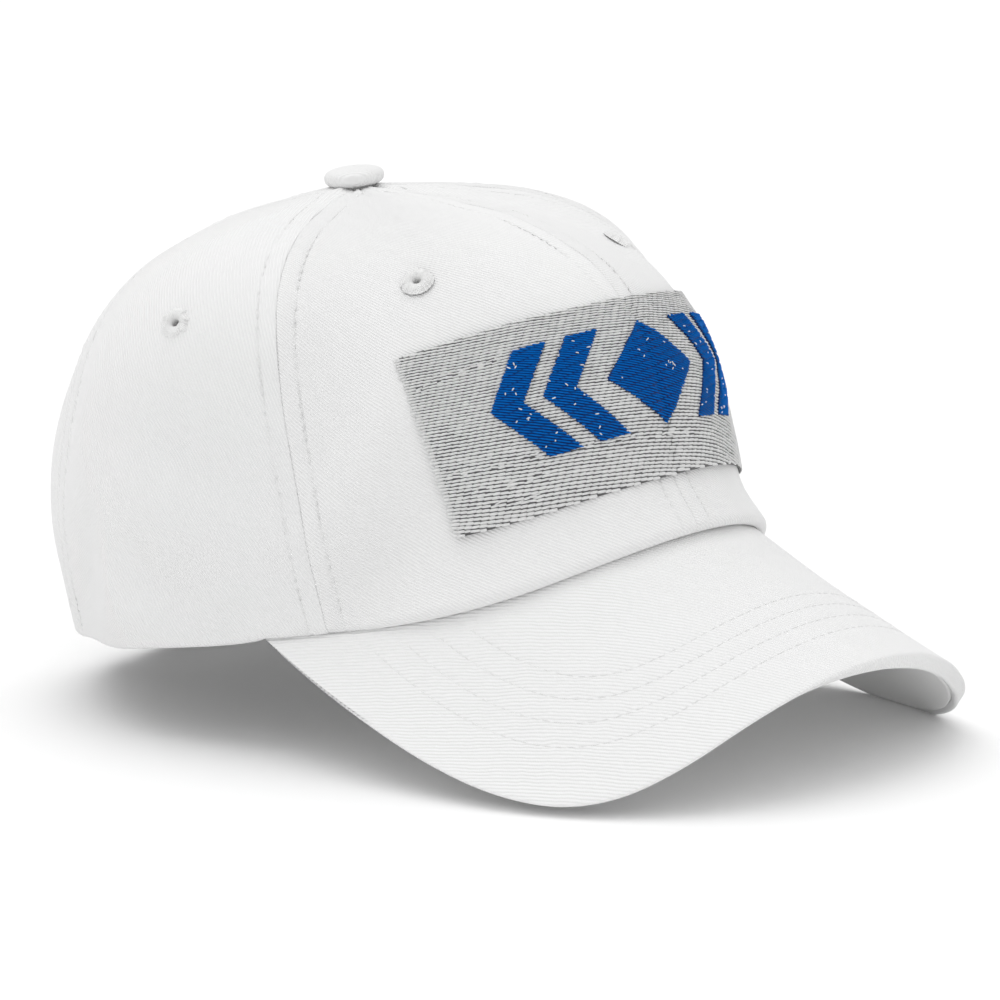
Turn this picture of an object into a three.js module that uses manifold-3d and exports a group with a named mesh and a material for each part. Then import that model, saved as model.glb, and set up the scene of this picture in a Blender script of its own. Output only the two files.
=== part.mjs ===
// A six-panel cotton cap with a soft crown and a curved peak, resting on the two low corners of the peak
// and on the buckle of its rear strap. Millimetres, +Z up. The cap faces -Y and the wearer's left is +X.
import * as THREE from 'three';
import { mergeVertices } from 'three/addons/utils/BufferGeometryUtils.js';
import Module from 'manifold-3d';

const wasm = await Module();
wasm.setup();

// Driving dimensions
const crownHeight = 135.7;
const apexSetBack = 29.6;
const clothThickness = 1.6;
const seamGap = 0.4;
const seatGap = 0.8;

// The crown's outer surface at seven angles from the front seam, the same on both sides.
// reach: plan distance of the lower edge. belly: how far the wall leans out above it, as a part of reach.
// rise: height of that lean, as a part of the height. shoulder: reach of the shoulder, as a part of reach.
// dip: how far the shoulder lies below the apex.
const crownStations = [
  { angle: 0, reach: 93.5, belly: -0.10, rise: 0.83, shoulder: 0.80, dip: -4.0 },
  { angle: 30, reach: 86.7, belly: -0.09, rise: 0.80, shoulder: 0.784, dip: -3.0 },
  { angle: 60, reach: 78.3, belly: 0.005, rise: 0.765, shoulder: 0.781, dip: -0.9 },
  { angle: 90, reach: 86.9, belly: 0.13, rise: 0.895, shoulder: 0.875, dip: 1.4 },
  { angle: 120, reach: 95.5, belly: 0.245, rise: 0.755, shoulder: 0.866, dip: 5.8 },
  { angle: 150, reach: 96.9, belly: 0.275, rise: 0.62, shoulder: 0.825, dip: 8.0 },
  { angle: 180, reach: 98.3, belly: 0.262, rise: 0.616, shoulder: 0.818, dip: 8.0 },
];

// The soft roll that turns the front of the crown's lower edge out over the peak. The edge itself turns back in
// and meets the peak at the contact flare.
const lip = { flare: 4.2, height: 8.6, contactFlare: 2.4, endAngle: 85, fadeAngle: 30 };

// The lower edge from the peak's tips to the back, and its unevenness
const hem = { startSlope: -47, bulge: 9.4, restAngle: 172, seatFade: 16 };
const hemWaves = [
  { angle: 107, spread: 8, lift: -1.4 },
  { angle: 142, spread: 15, lift: 2.4 },
];

// The seams between the panels, as angles that change up the crown
const sideSeam = { middle: 82.0, base: -17.9, top: -5.3 };
const rearSeam = { middle: 121.0, base: 3.0, top: 13.0 };
const panelTopHeight = 0.978;

// Dents and folds. angle and height: the middle, in degrees from the front and millimetres.
// length and width: half sizes. lean: degrees from level. depth: inward, or outward where it is negative.
const dents = [
  { angle: 86, height: 86, length: 17, width: 13, lean: 20, depth: 2.4 },
  { angle: 95, height: 56, length: 15, width: 6, lean: 33, depth: 1.8 },
  { angle: 120, height: 86, length: 20, width: 6, lean: 90, depth: 1.8 },
  { angle: 114, height: 42, length: 18, width: 7, lean: 100, depth: 1.8 },
  { angle: 50, height: 63, length: 30, width: 6, lean: -56, depth: 2.0 },
  { angle: 58, height: 72, length: 26, width: 7, lean: -56, depth: -1.0 },
  { angle: -84, height: 80, length: 16, width: 12, lean: -15, depth: 2.2 },
  { angle: -52, height: 60, length: 26, width: 7, lean: 56, depth: 1.6 },
  { angle: -108, height: 52, length: 18, width: 7, lean: 75, depth: 1.8 },
  { angle: 152, height: 84, length: 18, width: 9, lean: 15, depth: 1.8 },
  { angle: -148, height: 88, length: 20, width: 10, lean: -12, depth: 1.8 },
  { angle: 134, height: 92, length: 24, width: 18, lean: 0, depth: 1.5 },
  { angle: -20, height: 128, length: 10, width: 7, lean: 90, depth: 1.1 },
];
const millimetresPerDegree = 1.53;

// The peak. Its own frame is turned a little about the crown's, x across it and f forward from the front seam.
const peak = {
  joinHeight: 60.7,
  pitch: 0.496,
  droop: 0.6,
  arch: 68.1,
  archTaper: -25.3,
  corner: 12.2,
  cornerTaper: 6.7,
  edgeLift: 23.4,
  twist: 12.0,
  tilt: 3.4,
  turn: 3.0,
  tipAngle: 75.8,
  halfWidth: 85,
  lengthScale: 70,
  tipFlare: 7.9,
  tipReach: 55.2,
  cornerWidth: 102,
  length: 56.9,
  topCover: 1.9,
  underCover: 2.0,
  coverGap: 0.3,
  seamInset: 1.0,
  settle: 1.0,
  settleHeight: 5,
};
const peakTwist = { start: 50, span: 120 };

// The embroidered patch across both front panels: half width as an angle, and heights up the crown
const patch = {
  sideAngle: 36.0,
  sideLean: 34.2,
  bottom: 0.077,
  bottomCurve: 0.008,
  top: 0.43,
  topCurve: -0.038,
  halfWidth: 57,
  height: 46.5,
  underside: 0.7,
  thickness: 0.6,
};

// Raised motifs on the patch, in millimetres across from the front seam and up from the patch's lower edge
const motif = { underside: 1.65, thickness: 0.6, middle: 24.5, halfHeight: 13.5 };
const lozenge = { halfWidth: 12.5, pointHalfWidth: 0.7 };
const chevron = { width: 7.5, depth: 9.5, innerStart: 14.5, outerStart: 26.5 };

const eyelet = { holeRadius: 1.3, radius: 4.3, halfHeight: 1.1, clearance: 0.35 };
const eyeletPlaces = [
  { name: 'front', hand: 1, angle: 41.4, height: 0.575 },
  { name: 'front', hand: -1, angle: 26.0, height: 0.59 },
  { name: 'side', hand: 1, angle: 95.0, height: 0.442 },
  { name: 'side', hand: -1, angle: 95.0, height: 0.442 },
  { name: 'rear', hand: 1, angle: 152.0, height: 0.50 },
  { name: 'rear', hand: -1, angle: 152.0, height: 0.50 },
];

const button = { radius: 7.8, height: 4.7, rise: 0.9, tilt: 2.5 };
const sweatband = { endAngle: 147, depth: 2.7, thickness: 1.0, lowRise: 0.6, highRise: 33 };
const rearArch = { halfWidth: 38, height: 47, near: 40, far: 140 };
const strap = { halfAngle: 30.5, depth: 2.1, thickness: 1.4, lowRise: 2.9, highRise: 22.9 };
const buckle = { halfWidth: 12, halfHeight: 13.4, bar: 2.6, thickness: 1.5, reach: 3.1, clearance: 0.6 };

// Colours
const materials = {
  cotton: new THREE.MeshStandardMaterial({ color: 0xf2f2f1, roughness: 0.92, metalness: 0 }),
  peakUnder: new THREE.MeshStandardMaterial({ color: 0xeeeeed, roughness: 0.92, metalness: 0 }),
  band: new THREE.MeshStandardMaterial({ color: 0xededeb, roughness: 0.95, metalness: 0 }),
  whiteThread: new THREE.MeshStandardMaterial({ color: 0xf6f6f4, roughness: 0.6, metalness: 0 }),
  patchThread: new THREE.MeshStandardMaterial({ color: 0xc9c9c7, roughness: 0.7, metalness: 0 }),
  blueThread: new THREE.MeshStandardMaterial({ color: 0x00549f, roughness: 0.5, metalness: 0 }),
  metal: new THREE.MeshStandardMaterial({ color: 0xb9babc, roughness: 0.35, metalness: 1 }),
};

const radians = THREE.MathUtils.degToRad;
const lastStation = crownStations.length - 1;

// The same direction as an angle from -180 to 180
function wrapAngle(angle) {
  return THREE.MathUtils.euclideanModulo(angle + 180, 360) - 180;
}

function smoothStep(value) {
  const x = THREE.MathUtils.clamp(value, 0, 1);
  return x * x * (3 - 2 * x);
}

// A smooth even curve round the crown through one column of the stations: a short cosine series
function aroundCrown(column) {
  const endWeight = (index) => (index === 0 || index === lastStation ? 0.5 : 1);
  const terms = crownStations.map((unused, order) => {
    const sum = crownStations.reduce((total, station, index) => {
      const phase = Math.PI * order * index / lastStation;
      return total + endWeight(index) * station[column] * Math.cos(phase);
    }, 0);
    return 2 * sum * endWeight(order) / lastStation;
  });
  return (angle) => terms.reduce((total, term, order) => total + term * Math.cos(order * radians(angle)), 0);
}

const reachAt = aroundCrown('reach');
const bellyAt = aroundCrown('belly');
const riseAt = aroundCrown('rise');
const shoulderAt = aroundCrown('shoulder');
const dipAt = aroundCrown('dip');

// How much of the soft roll is left at an angle
function lipShare(angle) {
  return smoothStep((lip.endAngle - Math.abs(angle)) / lip.fadeAngle);
}

// Plan position of the crown's lower edge, moved outward by a distance
function ringPoint(angle, outward = 0) {
  const reach = reachAt(angle) + outward;
  return new THREE.Vector2(-reach * Math.sin(radians(angle)), -reach * Math.cos(radians(angle)));
}

function toPeakFrame(x, y) {
  const c = Math.cos(radians(peak.turn));
  const s = Math.sin(radians(peak.turn));
  return { x: c * x + s * y, f: s * x - c * y - reachAt(0) };
}

function fromPeakFrame(x, f) {
  const c = Math.cos(radians(peak.turn));
  const s = Math.sin(radians(peak.turn));
  const y = -(f + reachAt(0));
  return new THREE.Vector2(c * x - s * y, s * x + c * y);
}

// Height of the peak's upper surface over a plan position
function peakHeight(planX, planY) {
  const { x, f } = toPeakFrame(planX, planY);
  const across = (x / peak.halfWidth) ** 2;
  const along = f / peak.lengthScale;
  const twistPart = THREE.MathUtils.clamp((f + peakTwist.start) / peakTwist.span, 0, 2) ** 2;
  return peak.joinHeight - peak.pitch * f - peak.droop * along * Math.abs(along)
    - (peak.arch + peak.archTaper * along) * across
    - (peak.corner + peak.cornerTaper * along) * across ** 2
    + peak.edgeLift * across ** 3
    + (peak.twist * twistPart - peak.tilt) * x / peak.halfWidth;
}

// Height of the crown's lower edge
function hemHeight(angle) {
  const size = Math.abs(angle);
  const seat = seatGap * (1 - smoothStep((size - peak.tipAngle) / hem.seatFade));
  if (size <= peak.tipAngle) {
    const spot = ringPoint(angle, lip.contactFlare * lipShare(angle));
    return peakHeight(spot.x, spot.y) + seat;
  }
  const tip = ringPoint(Math.sign(angle) * peak.tipAngle, lip.contactFlare * lipShare(peak.tipAngle));
  const u = Math.min((size - peak.tipAngle) / (hem.restAngle - peak.tipAngle), 1);
  const uneven = hemWaves.reduce((total, wave) => (
    total + wave.lift * Math.exp(-(((size - wave.angle) / wave.spread) ** 2))), 0);
  return peakHeight(tip.x, tip.y) * (1 - 3 * u * u + 2 * u ** 3)
    + hem.startSlope * (u - 2 * u * u + u ** 3)
    + hem.bulge * 16 * u * u * (1 - u) ** 2 + uneven + seat;
}

// The crown's smooth outer surface: height runs from 0 at the lower edge to 1 at the apex
function crownPoint(angle, height, flared) {
  const base = ringPoint(angle);
  const low = hemHeight(angle);
  const span = crownHeight - low;
  const weights = [(1 - height) ** 3, 3 * height * (1 - height) ** 2, 3 * height * height * (1 - height), height ** 3];
  let out = weights[0] + weights[1] * (1 + bellyAt(angle)) + weights[2] * shoulderAt(angle);
  const z = weights[0] * low + weights[1] * (low + riseAt(angle) * span)
    + weights[2] * (crownHeight - dipAt(angle)) + weights[3] * crownHeight;
  if (flared) {
    out += lip.flare * lipShare(angle) / base.length() * Math.exp(-(((z - low) / lip.height) ** 2));
  }
  return new THREE.Vector3(base.x * out, base.y * out + apexSetBack * (1 - out), z);
}

function crownNormal(angle, height, flared) {
  const step = 0.004;
  const turn = 0.5;
  const along = crownPoint(angle + turn, height, flared).sub(crownPoint(angle - turn, height, flared));
  const up = crownPoint(angle, height + step, flared).sub(crownPoint(angle, height - step, flared));
  return up.cross(along).normalize();
}

function dentDepth(angle, z) {
  return dents.reduce((total, dent) => {
    const u = (angle - dent.angle) * millimetresPerDegree;
    const v = z - dent.height;
    const lean = radians(dent.lean);
    const along = (u * Math.cos(lean) + v * Math.sin(lean)) / dent.length;
    const across = (v * Math.cos(lean) - u * Math.sin(lean)) / dent.width;
    return total + dent.depth * Math.exp(-along * along - across * across);
  }, 0);
}

// A point at a depth inside the crown's outer surface, with its dents
function crownSkin(angle, height, depth, flared = true) {
  const point = crownPoint(angle, height, flared);
  const inward = depth + dentDepth(angle, point.z);
  return point.addScaledVector(crownNormal(angle, height, flared), -inward);
}

// The height, from 0 to 1, at which the crown is a distance above its lower edge
function heightForRise(angle, rise) {
  let low = 0;
  let high = 0.6;
  for (let step = 0; step < 30; step += 1) {
    const middle = (low + high) / 2;
    const reached = crownPoint(angle, middle, false).z - hemHeight(angle) >= rise;
    if (reached) {
      high = middle;
    } else {
      low = middle;
    }
  }
  return (low + high) / 2;
}

function geometryFrom(vertices, triangles) {
  const signedVolume = triangles.reduce((total, [a, b, c]) => (
    total + vertices[a].dot(vertices[b].clone().cross(vertices[c]))), 0);
  const index = triangles.flatMap(([a, b, c]) => (signedVolume > 0 ? [a, b, c] : [a, c, b]));
  const geometry = new THREE.BufferGeometry();
  geometry.setAttribute('position', new THREE.Float32BufferAttribute(vertices.flatMap((p) => p.toArray()), 3));
  geometry.setIndex(index);
  return geometry;
}

// A closed sheet with two faces: pointAt(u, v, side) with u and v from 0 to 1, side 0 outside and 1 inside
function sheet(columns, rows, pointAt) {
  const vertices = [];
  for (const side of [0, 1]) {
    for (let j = 0; j <= rows; j += 1) {
      for (let i = 0; i <= columns; i += 1) {
        vertices.push(pointAt(i / columns, j / rows, side));
      }
    }
  }
  const layer = (columns + 1) * (rows + 1);
  const at = (i, j, side) => side * layer + j * (columns + 1) + i;
  const triangles = [];
  const quad = (a, b, c, d) => triangles.push([a, b, c], [a, c, d]);
  for (let j = 0; j < rows; j += 1) {
    for (let i = 0; i < columns; i += 1) {
      quad(at(i, j, 0), at(i + 1, j, 0), at(i + 1, j + 1, 0), at(i, j + 1, 0));
      quad(at(i, j, 1), at(i, j + 1, 1), at(i + 1, j + 1, 1), at(i + 1, j, 1));
    }
  }
  for (let i = 0; i < columns; i += 1) {
    quad(at(i, 0, 1), at(i + 1, 0, 1), at(i + 1, 0, 0), at(i, 0, 0));
    quad(at(i, rows, 0), at(i + 1, rows, 0), at(i + 1, rows, 1), at(i, rows, 1));
  }
  for (let j = 0; j < rows; j += 1) {
    quad(at(0, j, 0), at(0, j + 1, 0), at(0, j + 1, 1), at(0, j, 1));
    quad(at(columns, j, 1), at(columns, j + 1, 1), at(columns, j + 1, 0), at(columns, j, 0));
  }
  return geometryFrom(vertices, triangles);
}

// Boolean joins and cuts
function toSolid(geometry) {
  const plain = geometry.clone();
  plain.deleteAttribute('normal');
  plain.deleteAttribute('uv');
  const merged = mergeVertices(plain, 1e-4);
  return new wasm.Manifold(new wasm.Mesh({
    numProp: 3,
    vertProperties: new Float32Array(merged.getAttribute('position').array),
    triVerts: new Uint32Array(merged.getIndex().array),
  }));
}

function fromSolid(solid) {
  const mesh = solid.getMesh();
  const geometry = new THREE.BufferGeometry();
  geometry.setAttribute('position', new THREE.Float32BufferAttribute(mesh.vertProperties, 3));
  geometry.setIndex(new THREE.Uint32BufferAttribute(mesh.triVerts, 1));
  return geometry;
}

const cap = new THREE.Group();

function addPiece(name, geometry, material) {
  const piece = new THREE.Mesh(geometry, material);
  piece.name = name;
  cap.add(piece);
  return piece;
}

// Crown panels
function seamAngle(seam, height) {
  return seam.middle + seam.base * (1 - height) ** 2 + seam.top * height ** 2;
}

const panelEdges = {
  front: [() => 0, (height) => seamAngle(sideSeam, height)],
  side: [(height) => seamAngle(sideSeam, height), (height) => seamAngle(rearSeam, height)],
  rear: [(height) => seamAngle(rearSeam, height), () => 180],
};

function panelPoint(edges, hand, u, v, side) {
  const height = panelTopHeight * (0.35 * v ** 2 + 0.65 * v);
  const spread = crownPoint(hand * edges[0](height), height, true);
  const seamInset = THREE.MathUtils.radToDeg(seamGap / 2 / Math.hypot(spread.x, spread.y - apexSetBack));
  const start = edges[0](height) + seamInset;
  const end = edges[1](height) - seamInset;
  const angle = hand * (start + (end - start) * u);
  const point = crownSkin(angle, height, side * clothThickness);
  if (v === 0) {
    const nearPeak = Math.abs(angle) <= peak.tipAngle;
    point.z = nearPeak ? Math.max(hemHeight(angle), peakHeight(point.x, point.y) + seatGap) : hemHeight(angle);
  }
  return point;
}

function eyeletMatrix(place) {
  const angle = place.hand * place.angle;
  const centre = crownSkin(angle, place.height, clothThickness / 2);
  const turn = new THREE.Quaternion().setFromUnitVectors(
    new THREE.Vector3(0, 1, 0), crownNormal(angle, place.height, true));
  return new THREE.Matrix4().compose(centre, turn, new THREE.Vector3(1, 1, 1));
}

function eyeletHole(place) {
  const hole = new THREE.CylinderGeometry(
    eyelet.radius + eyelet.clearance, eyelet.radius + eyelet.clearance, 6 * clothThickness, 16);
  hole.applyMatrix4(eyeletMatrix(place));
  return toSolid(hole);
}

function archCutter() {
  const outline = new THREE.Shape();
  outline.moveTo(-rearArch.halfWidth, -10);
  outline.lineTo(rearArch.halfWidth, -10);
  outline.lineTo(rearArch.halfWidth, 0);
  outline.absellipse(0, 0, rearArch.halfWidth, rearArch.height, 0, Math.PI, false, 0);
  outline.lineTo(-rearArch.halfWidth, -10);
  const block = new THREE.ExtrudeGeometry(outline, {
    depth: rearArch.far - rearArch.near, bevelEnabled: false, curveSegments: 12 });
  block.rotateX(Math.PI / 2);
  block.translate(0, rearArch.far, 0);
  return toSolid(block);
}

const sideWord = (hand) => (hand > 0 ? 'right' : 'left');

for (const place of eyeletPlaces) {
  const blank = sheet(12, 13, (u, v, side) => panelPoint(panelEdges[place.name], place.hand, u, v, side));
  let solid = toSolid(blank).subtract(eyeletHole(place));
  if (place.name === 'rear') {
    solid = solid.subtract(archCutter());
  }
  addPiece(`${place.name}_panel_${sideWord(place.hand)}`, fromSolid(solid), materials.cotton);
}

// Embroidered eyelets, one in the middle of each panel
function eyeletGeometry() {
  const rim = [];
  for (const [part, lift] of [[0, 0.75], [0.3, 1], [0.75, 0.85], [1, 0.35]]) {
    rim.push(new THREE.Vector2(eyelet.holeRadius + part * (eyelet.radius - eyelet.holeRadius),
      lift * eyelet.halfHeight));
  }
  const mirrored = rim.map((p) => new THREE.Vector2(p.x, -p.y)).reverse();
  return new THREE.LatheGeometry([...mirrored, ...rim, mirrored[0].clone()].reverse(), 16);
}

for (const place of eyeletPlaces) {
  const geometry = fromSolid(toSolid(eyeletGeometry()));
  geometry.applyMatrix4(eyeletMatrix(place));
  addPiece(`eyelet_${place.name}_${sideWord(place.hand)}`, geometry, materials.whiteThread);
}

// Covered button over the meeting point of the panels
function buttonGeometry() {
  const profile = [new THREE.Vector2(0, 0)];
  for (const [out, up] of [[0.94, 0], [1, 0.2], [0.97, 0.5], [0.84, 0.78], [0.6, 0.93], [0.3, 0.99]]) {
    profile.push(new THREE.Vector2(out * button.radius, up * button.height));
  }
  profile.push(new THREE.Vector2(0, button.height));
  return new THREE.LatheGeometry(profile, 24);
}

const topButton = addPiece('top_button', fromSolid(toSolid(buttonGeometry())), materials.cotton);
topButton.rotation.x = Math.PI / 2 - radians(button.tilt);
topButton.position.set(0, apexSetBack, crownHeight + button.rise);

// Peak: two covers that follow one arched surface
function peakEdge(s) {
  const side = s < 0.5 ? -1 : 1;
  const part = s < 0.5 ? 2 * s : 2 - 2 * s;
  const tipPlan = ringPoint(-side * peak.tipAngle);
  const tip = toPeakFrame(tipPlan.x, tipPlan.y);
  const tipX = Math.abs(tip.x);
  const curve = new THREE.CubicBezierCurve(
    new THREE.Vector2(tipX, tip.f),
    new THREE.Vector2(tipX + peak.tipFlare, tip.f + peak.tipReach),
    new THREE.Vector2(peak.cornerWidth, peak.length),
    new THREE.Vector2(0, peak.length));
  const spot = curve.getPoint(part);
  return fromPeakFrame(side * spot.x, spot.y);
}

// The two low corners of the peak settle a little and are flat where they rest
function peakPoint(s, w, depth) {
  const inner = ringPoint(peak.tipAngle * (1 - 2 * s), -peak.seamInset);
  const plan = inner.lerp(peakEdge(s), w);
  const step = 0.5;
  const z = peakHeight(plan.x, plan.y);
  const slopeX = (peakHeight(plan.x + step, plan.y) - peakHeight(plan.x - step, plan.y)) / (2 * step);
  const slopeY = (peakHeight(plan.x, plan.y + step) - peakHeight(plan.x, plan.y - step)) / (2 * step);
  const normal = new THREE.Vector3(-slopeX, -slopeY, 1).normalize();
  const upright = new THREE.Vector3(0, 0, 1 / normal.z);
  const point = new THREE.Vector3(plan.x, plan.y, z).addScaledVector(upright.lerp(normal, w), -depth);
  point.z = Math.max(point.z - peak.settle * Math.exp(-Math.max(point.z, 0) / peak.settleHeight), 0);
  return point;
}

const underDepth = peak.topCover + peak.coverGap;
const peakColumns = 36;
const peakRows = 6;
addPiece('peak_top', sheet(peakColumns, peakRows, (s, w, side) => (
  peakPoint(s, w, side * peak.topCover))), materials.cotton);
addPiece('peak_under', sheet(peakColumns, peakRows, (s, w, side) => (
  peakPoint(s, w, underDepth + side * peak.underCover))), materials.peakUnder);

// Embroidered patch and its raised motifs
function patchPoint(across, up, lift) {
  const bottom = patch.bottom + patch.bottomCurve * across ** 2;
  const top = patch.top + patch.topCurve * across ** 2;
  const height = bottom + (top - bottom) * up;
  return crownSkin(-across * (patch.sideAngle + patch.sideLean * height), height, -lift);
}

addPiece('front_patch', sheet(24, 7, (u, v, side) => (
  patchPoint(2 * u - 1, v, patch.underside + (1 - side) * patch.thickness))), materials.patchThread);

function addMotif(name, leftAt, rightAt) {
  addPiece(name, sheet(4, 8, (u, v, side) => {
    const part = 2 * v - 1;
    const left = leftAt(part);
    const across = (left + (rightAt(part) - left) * u) / patch.halfWidth;
    const up = (motif.middle + part * motif.halfHeight) / patch.height;
    return patchPoint(across, up, motif.underside + (1 - side) * motif.thickness);
  }), materials.blueThread);
}

const lozengeEdge = (part) => Math.max(lozenge.halfWidth * (1 - Math.abs(part)), lozenge.pointHalfWidth);
addMotif('motif_lozenge', (part) => -lozengeEdge(part), lozengeEdge);
for (const [side, word] of [[-1, 'right'], [1, 'left']]) {
  for (const [start, place] of [[chevron.innerStart, 'inner'], [chevron.outerStart, 'outer']]) {
    const middleAt = (part) => side * (start + chevron.depth * (1 - Math.abs(part)));
    addMotif(`motif_chevron_${word}_${place}`,
      (part) => middleAt(part) - chevron.width / 2,
      (part) => middleAt(part) + chevron.width / 2);
  }
}

// Inner band round the opening
function bandSheet(columns, rows, from, to, depth, thickness, lowRise, highRise) {
  return sheet(columns, rows, (u, v, side) => {
    const angle = wrapAngle(from + (to - from) * u);
    const rise = lowRise + (highRise - lowRise) * v;
    const point = crownSkin(angle, heightForRise(angle, rise), depth + side * thickness, false);
    if (v === 0) {
      point.z = hemHeight(angle) + rise;
    }
    return point;
  });
}

addPiece('sweatband', bandSheet(44, 3, -sweatband.endAngle, sweatband.endAngle, sweatband.depth,
  sweatband.thickness, sweatband.lowRise, sweatband.highRise), materials.band);

// Rear strap and its one-piece buckle
addPiece('back_strap', bandSheet(14, 2, 180 - strap.halfAngle, 180 + strap.halfAngle, strap.depth,
  strap.thickness, strap.lowRise, strap.highRise), materials.cotton);

function block(x0, x1, y0, y1, z0, z1) {
  const box = new THREE.BoxGeometry(x1 - x0, y1 - y0, z1 - z0);
  box.translate((x0 + x1) / 2, (y0 + y1) / 2, (z0 + z1) / 2);
  return toSolid(box);
}

function buckleGeometry(strapWidth) {
  const { halfWidth, halfHeight, bar, thickness, reach } = buckle;
  const front = reach - thickness;
  const window = halfWidth - bar;
  const rail = halfHeight - buckle.clearance - strapWidth / 2;
  const bars = [
    block(-halfWidth, -window, front, reach, -halfHeight, halfHeight),
    block(window, halfWidth, front, reach, -halfHeight, halfHeight),
    block(-bar / 2, bar / 2, -reach, -front, -halfHeight, halfHeight),
    block(-halfWidth, halfWidth, -reach, reach, -halfHeight, -halfHeight + rail),
    block(-halfWidth, halfWidth, -reach, reach, halfHeight - rail, halfHeight),
  ];
  return fromSolid(bars.reduce((whole, piece) => whole.add(piece)));
}

// The buckle leans with the strap. Its lower rail is flat underneath, where the cap rests on it.
const strapDepth = strap.depth + strap.thickness / 2;
const strapLow = crownSkin(-180, heightForRise(-180, strap.lowRise), strapDepth, false);
strapLow.z = strap.lowRise;
const strapHigh = crownSkin(-180, heightForRise(-180, strap.highRise), strapDepth, false);
const strapLean = Math.atan2(strapHigh.y - strapLow.y, strapHigh.z - strapLow.z);
const strapMiddle = strapLow.clone().add(strapHigh).divideScalar(2);
const leaningBuckle = buckleGeometry(strapHigh.distanceTo(strapLow));
leaningBuckle.rotateX(-strapLean);
leaningBuckle.translate(strapMiddle.x, strapMiddle.y, strapMiddle.z);
const belowGround = block(-2 * buckle.halfWidth, 2 * buckle.halfWidth, rearArch.near, rearArch.far, -10, 0);
addPiece('strap_buckle', fromSolid(toSolid(leaningBuckle).subtract(belowGround)), materials.metal);

// The origin is the middle of the whole cap's box, at the bottom
const bounds = new THREE.Box3().setFromObject(cap, true);
const middle = bounds.getCenter(new THREE.Vector3());
cap.position.set(-middle.x, -middle.y, -bounds.min.z);

export default cap;
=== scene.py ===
import math

import bmesh
import bpy
import numpy as np
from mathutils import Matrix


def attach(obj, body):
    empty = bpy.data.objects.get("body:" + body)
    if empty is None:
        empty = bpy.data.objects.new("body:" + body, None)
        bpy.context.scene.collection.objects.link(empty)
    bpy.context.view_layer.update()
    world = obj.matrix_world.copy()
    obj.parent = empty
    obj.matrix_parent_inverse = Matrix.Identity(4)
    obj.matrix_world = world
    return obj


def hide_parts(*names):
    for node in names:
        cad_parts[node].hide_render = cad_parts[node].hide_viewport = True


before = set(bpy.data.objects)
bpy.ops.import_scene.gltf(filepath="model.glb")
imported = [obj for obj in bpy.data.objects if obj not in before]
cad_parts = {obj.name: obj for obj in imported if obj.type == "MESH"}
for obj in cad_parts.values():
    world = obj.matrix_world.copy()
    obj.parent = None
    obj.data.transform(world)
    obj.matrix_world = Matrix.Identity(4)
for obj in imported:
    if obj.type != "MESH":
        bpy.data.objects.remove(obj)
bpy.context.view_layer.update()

rng = np.random.default_rng(11)

# Sizes are in millimetres and angles in degrees, as in the part's own source, unless a name says otherwise.
METRES = 0.001
CROWN_CENTRE = np.array([0.137, 23.492, 0.0])

# The crown's outer surface at seven angles from the front seam, the same on both sides
CROWN_HEIGHT = 135.7
APEX_SET_BACK = 29.6
CROWN_COLUMNS = ("angle", "reach", "belly", "rise", "shoulder", "dip")
CROWN_STATIONS = (
    (0, 93.5, -0.10, 0.83, 0.80, -4.0),
    (30, 86.7, -0.09, 0.80, 0.784, -3.0),
    (60, 78.3, 0.005, 0.765, 0.781, -0.9),
    (90, 86.9, 0.13, 0.895, 0.875, 1.4),
    (120, 95.5, 0.245, 0.755, 0.866, 5.8),
    (150, 96.9, 0.275, 0.62, 0.825, 8.0),
    (180, 98.3, 0.262, 0.616, 0.818, 8.0),
)
LIP_FLARE, LIP_HEIGHT, LIP_END, LIP_FADE = 5.1, 8.6, 85.0, 30.0
CONTACT_FLARE = 2.4
HEM_START_SLOPE, HEM_BULGE, HEM_REST_ANGLE = -47.0, 9.4, 172.0
# Unevenness of the hem: angle, spread, lift
HEM_WAVES = ((107, 8, -1.4), (142, 15, 2.4))
# Seams between panels: angle at middle height, and its turn towards the foot and towards the top
SIDE_SEAM = (82.0, -17.9, -5.3)
REAR_SEAM = (121.0, 3.0, 13.0)
PANEL_TOP = 0.978
CLOTH = 1.3
CONTACT_GAP = 0.5

# Dents and folds: angle, height, half length, half width, lean from level, depth inward
DENTS = (
    (88, 76, 20, 11, 20, 3.9),
    (98, 44, 17, 9, 33, 3.2),
    (120, 86, 20, 6, 90, 2.4),
    (114, 42, 18, 7, 100, 2.5),
    (55, 47, 26, 9, -50, 3.8),
    (60, 72, 24, 8, -52, -1.6),
    (-84, 80, 16, 12, -15, 2.2),
    (-52, 60, 26, 7, 56, 1.6),
    (-108, 52, 18, 7, 75, 1.8),
    (152, 84, 18, 9, 15, 1.8),
    (-148, 88, 20, 10, -12, 1.8),
    (134, 92, 24, 18, 0, 1.5),
    (-20, 128, 10, 7, 90, 1.1),
)
MM_PER_DEGREE = 1.53

# The peak
JOIN_HEIGHT, PITCH, DROOP = 60.7, 0.496, 0.6
ARCH, ARCH_TAPER, CORNER, CORNER_TAPER, EDGE_LIFT = 68.1, -25.3, 12.2, 6.7, 23.4
TWIST, TILT, TURN = 12.0, 3.4, 3.0
TWIST_START, TWIST_SPAN, TWIST_LIMIT = -50.0, 120.0, 2.0
TIP_ANGLE, HALF_WIDTH, LENGTH_SCALE = 75.8, 85.0, 70.0
TIP_FLARE, TIP_REACH, CORNER_WIDTH, PEAK_LENGTH = 7.9, 55.2, 102.0, 56.9
PEAK_THICKNESS = 4.8
PEAK_ROWS = (26.5, 21.9, 17.1, 12.3)
SETTLE, SETTLE_HEIGHT = 1.0, 5.0

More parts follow.
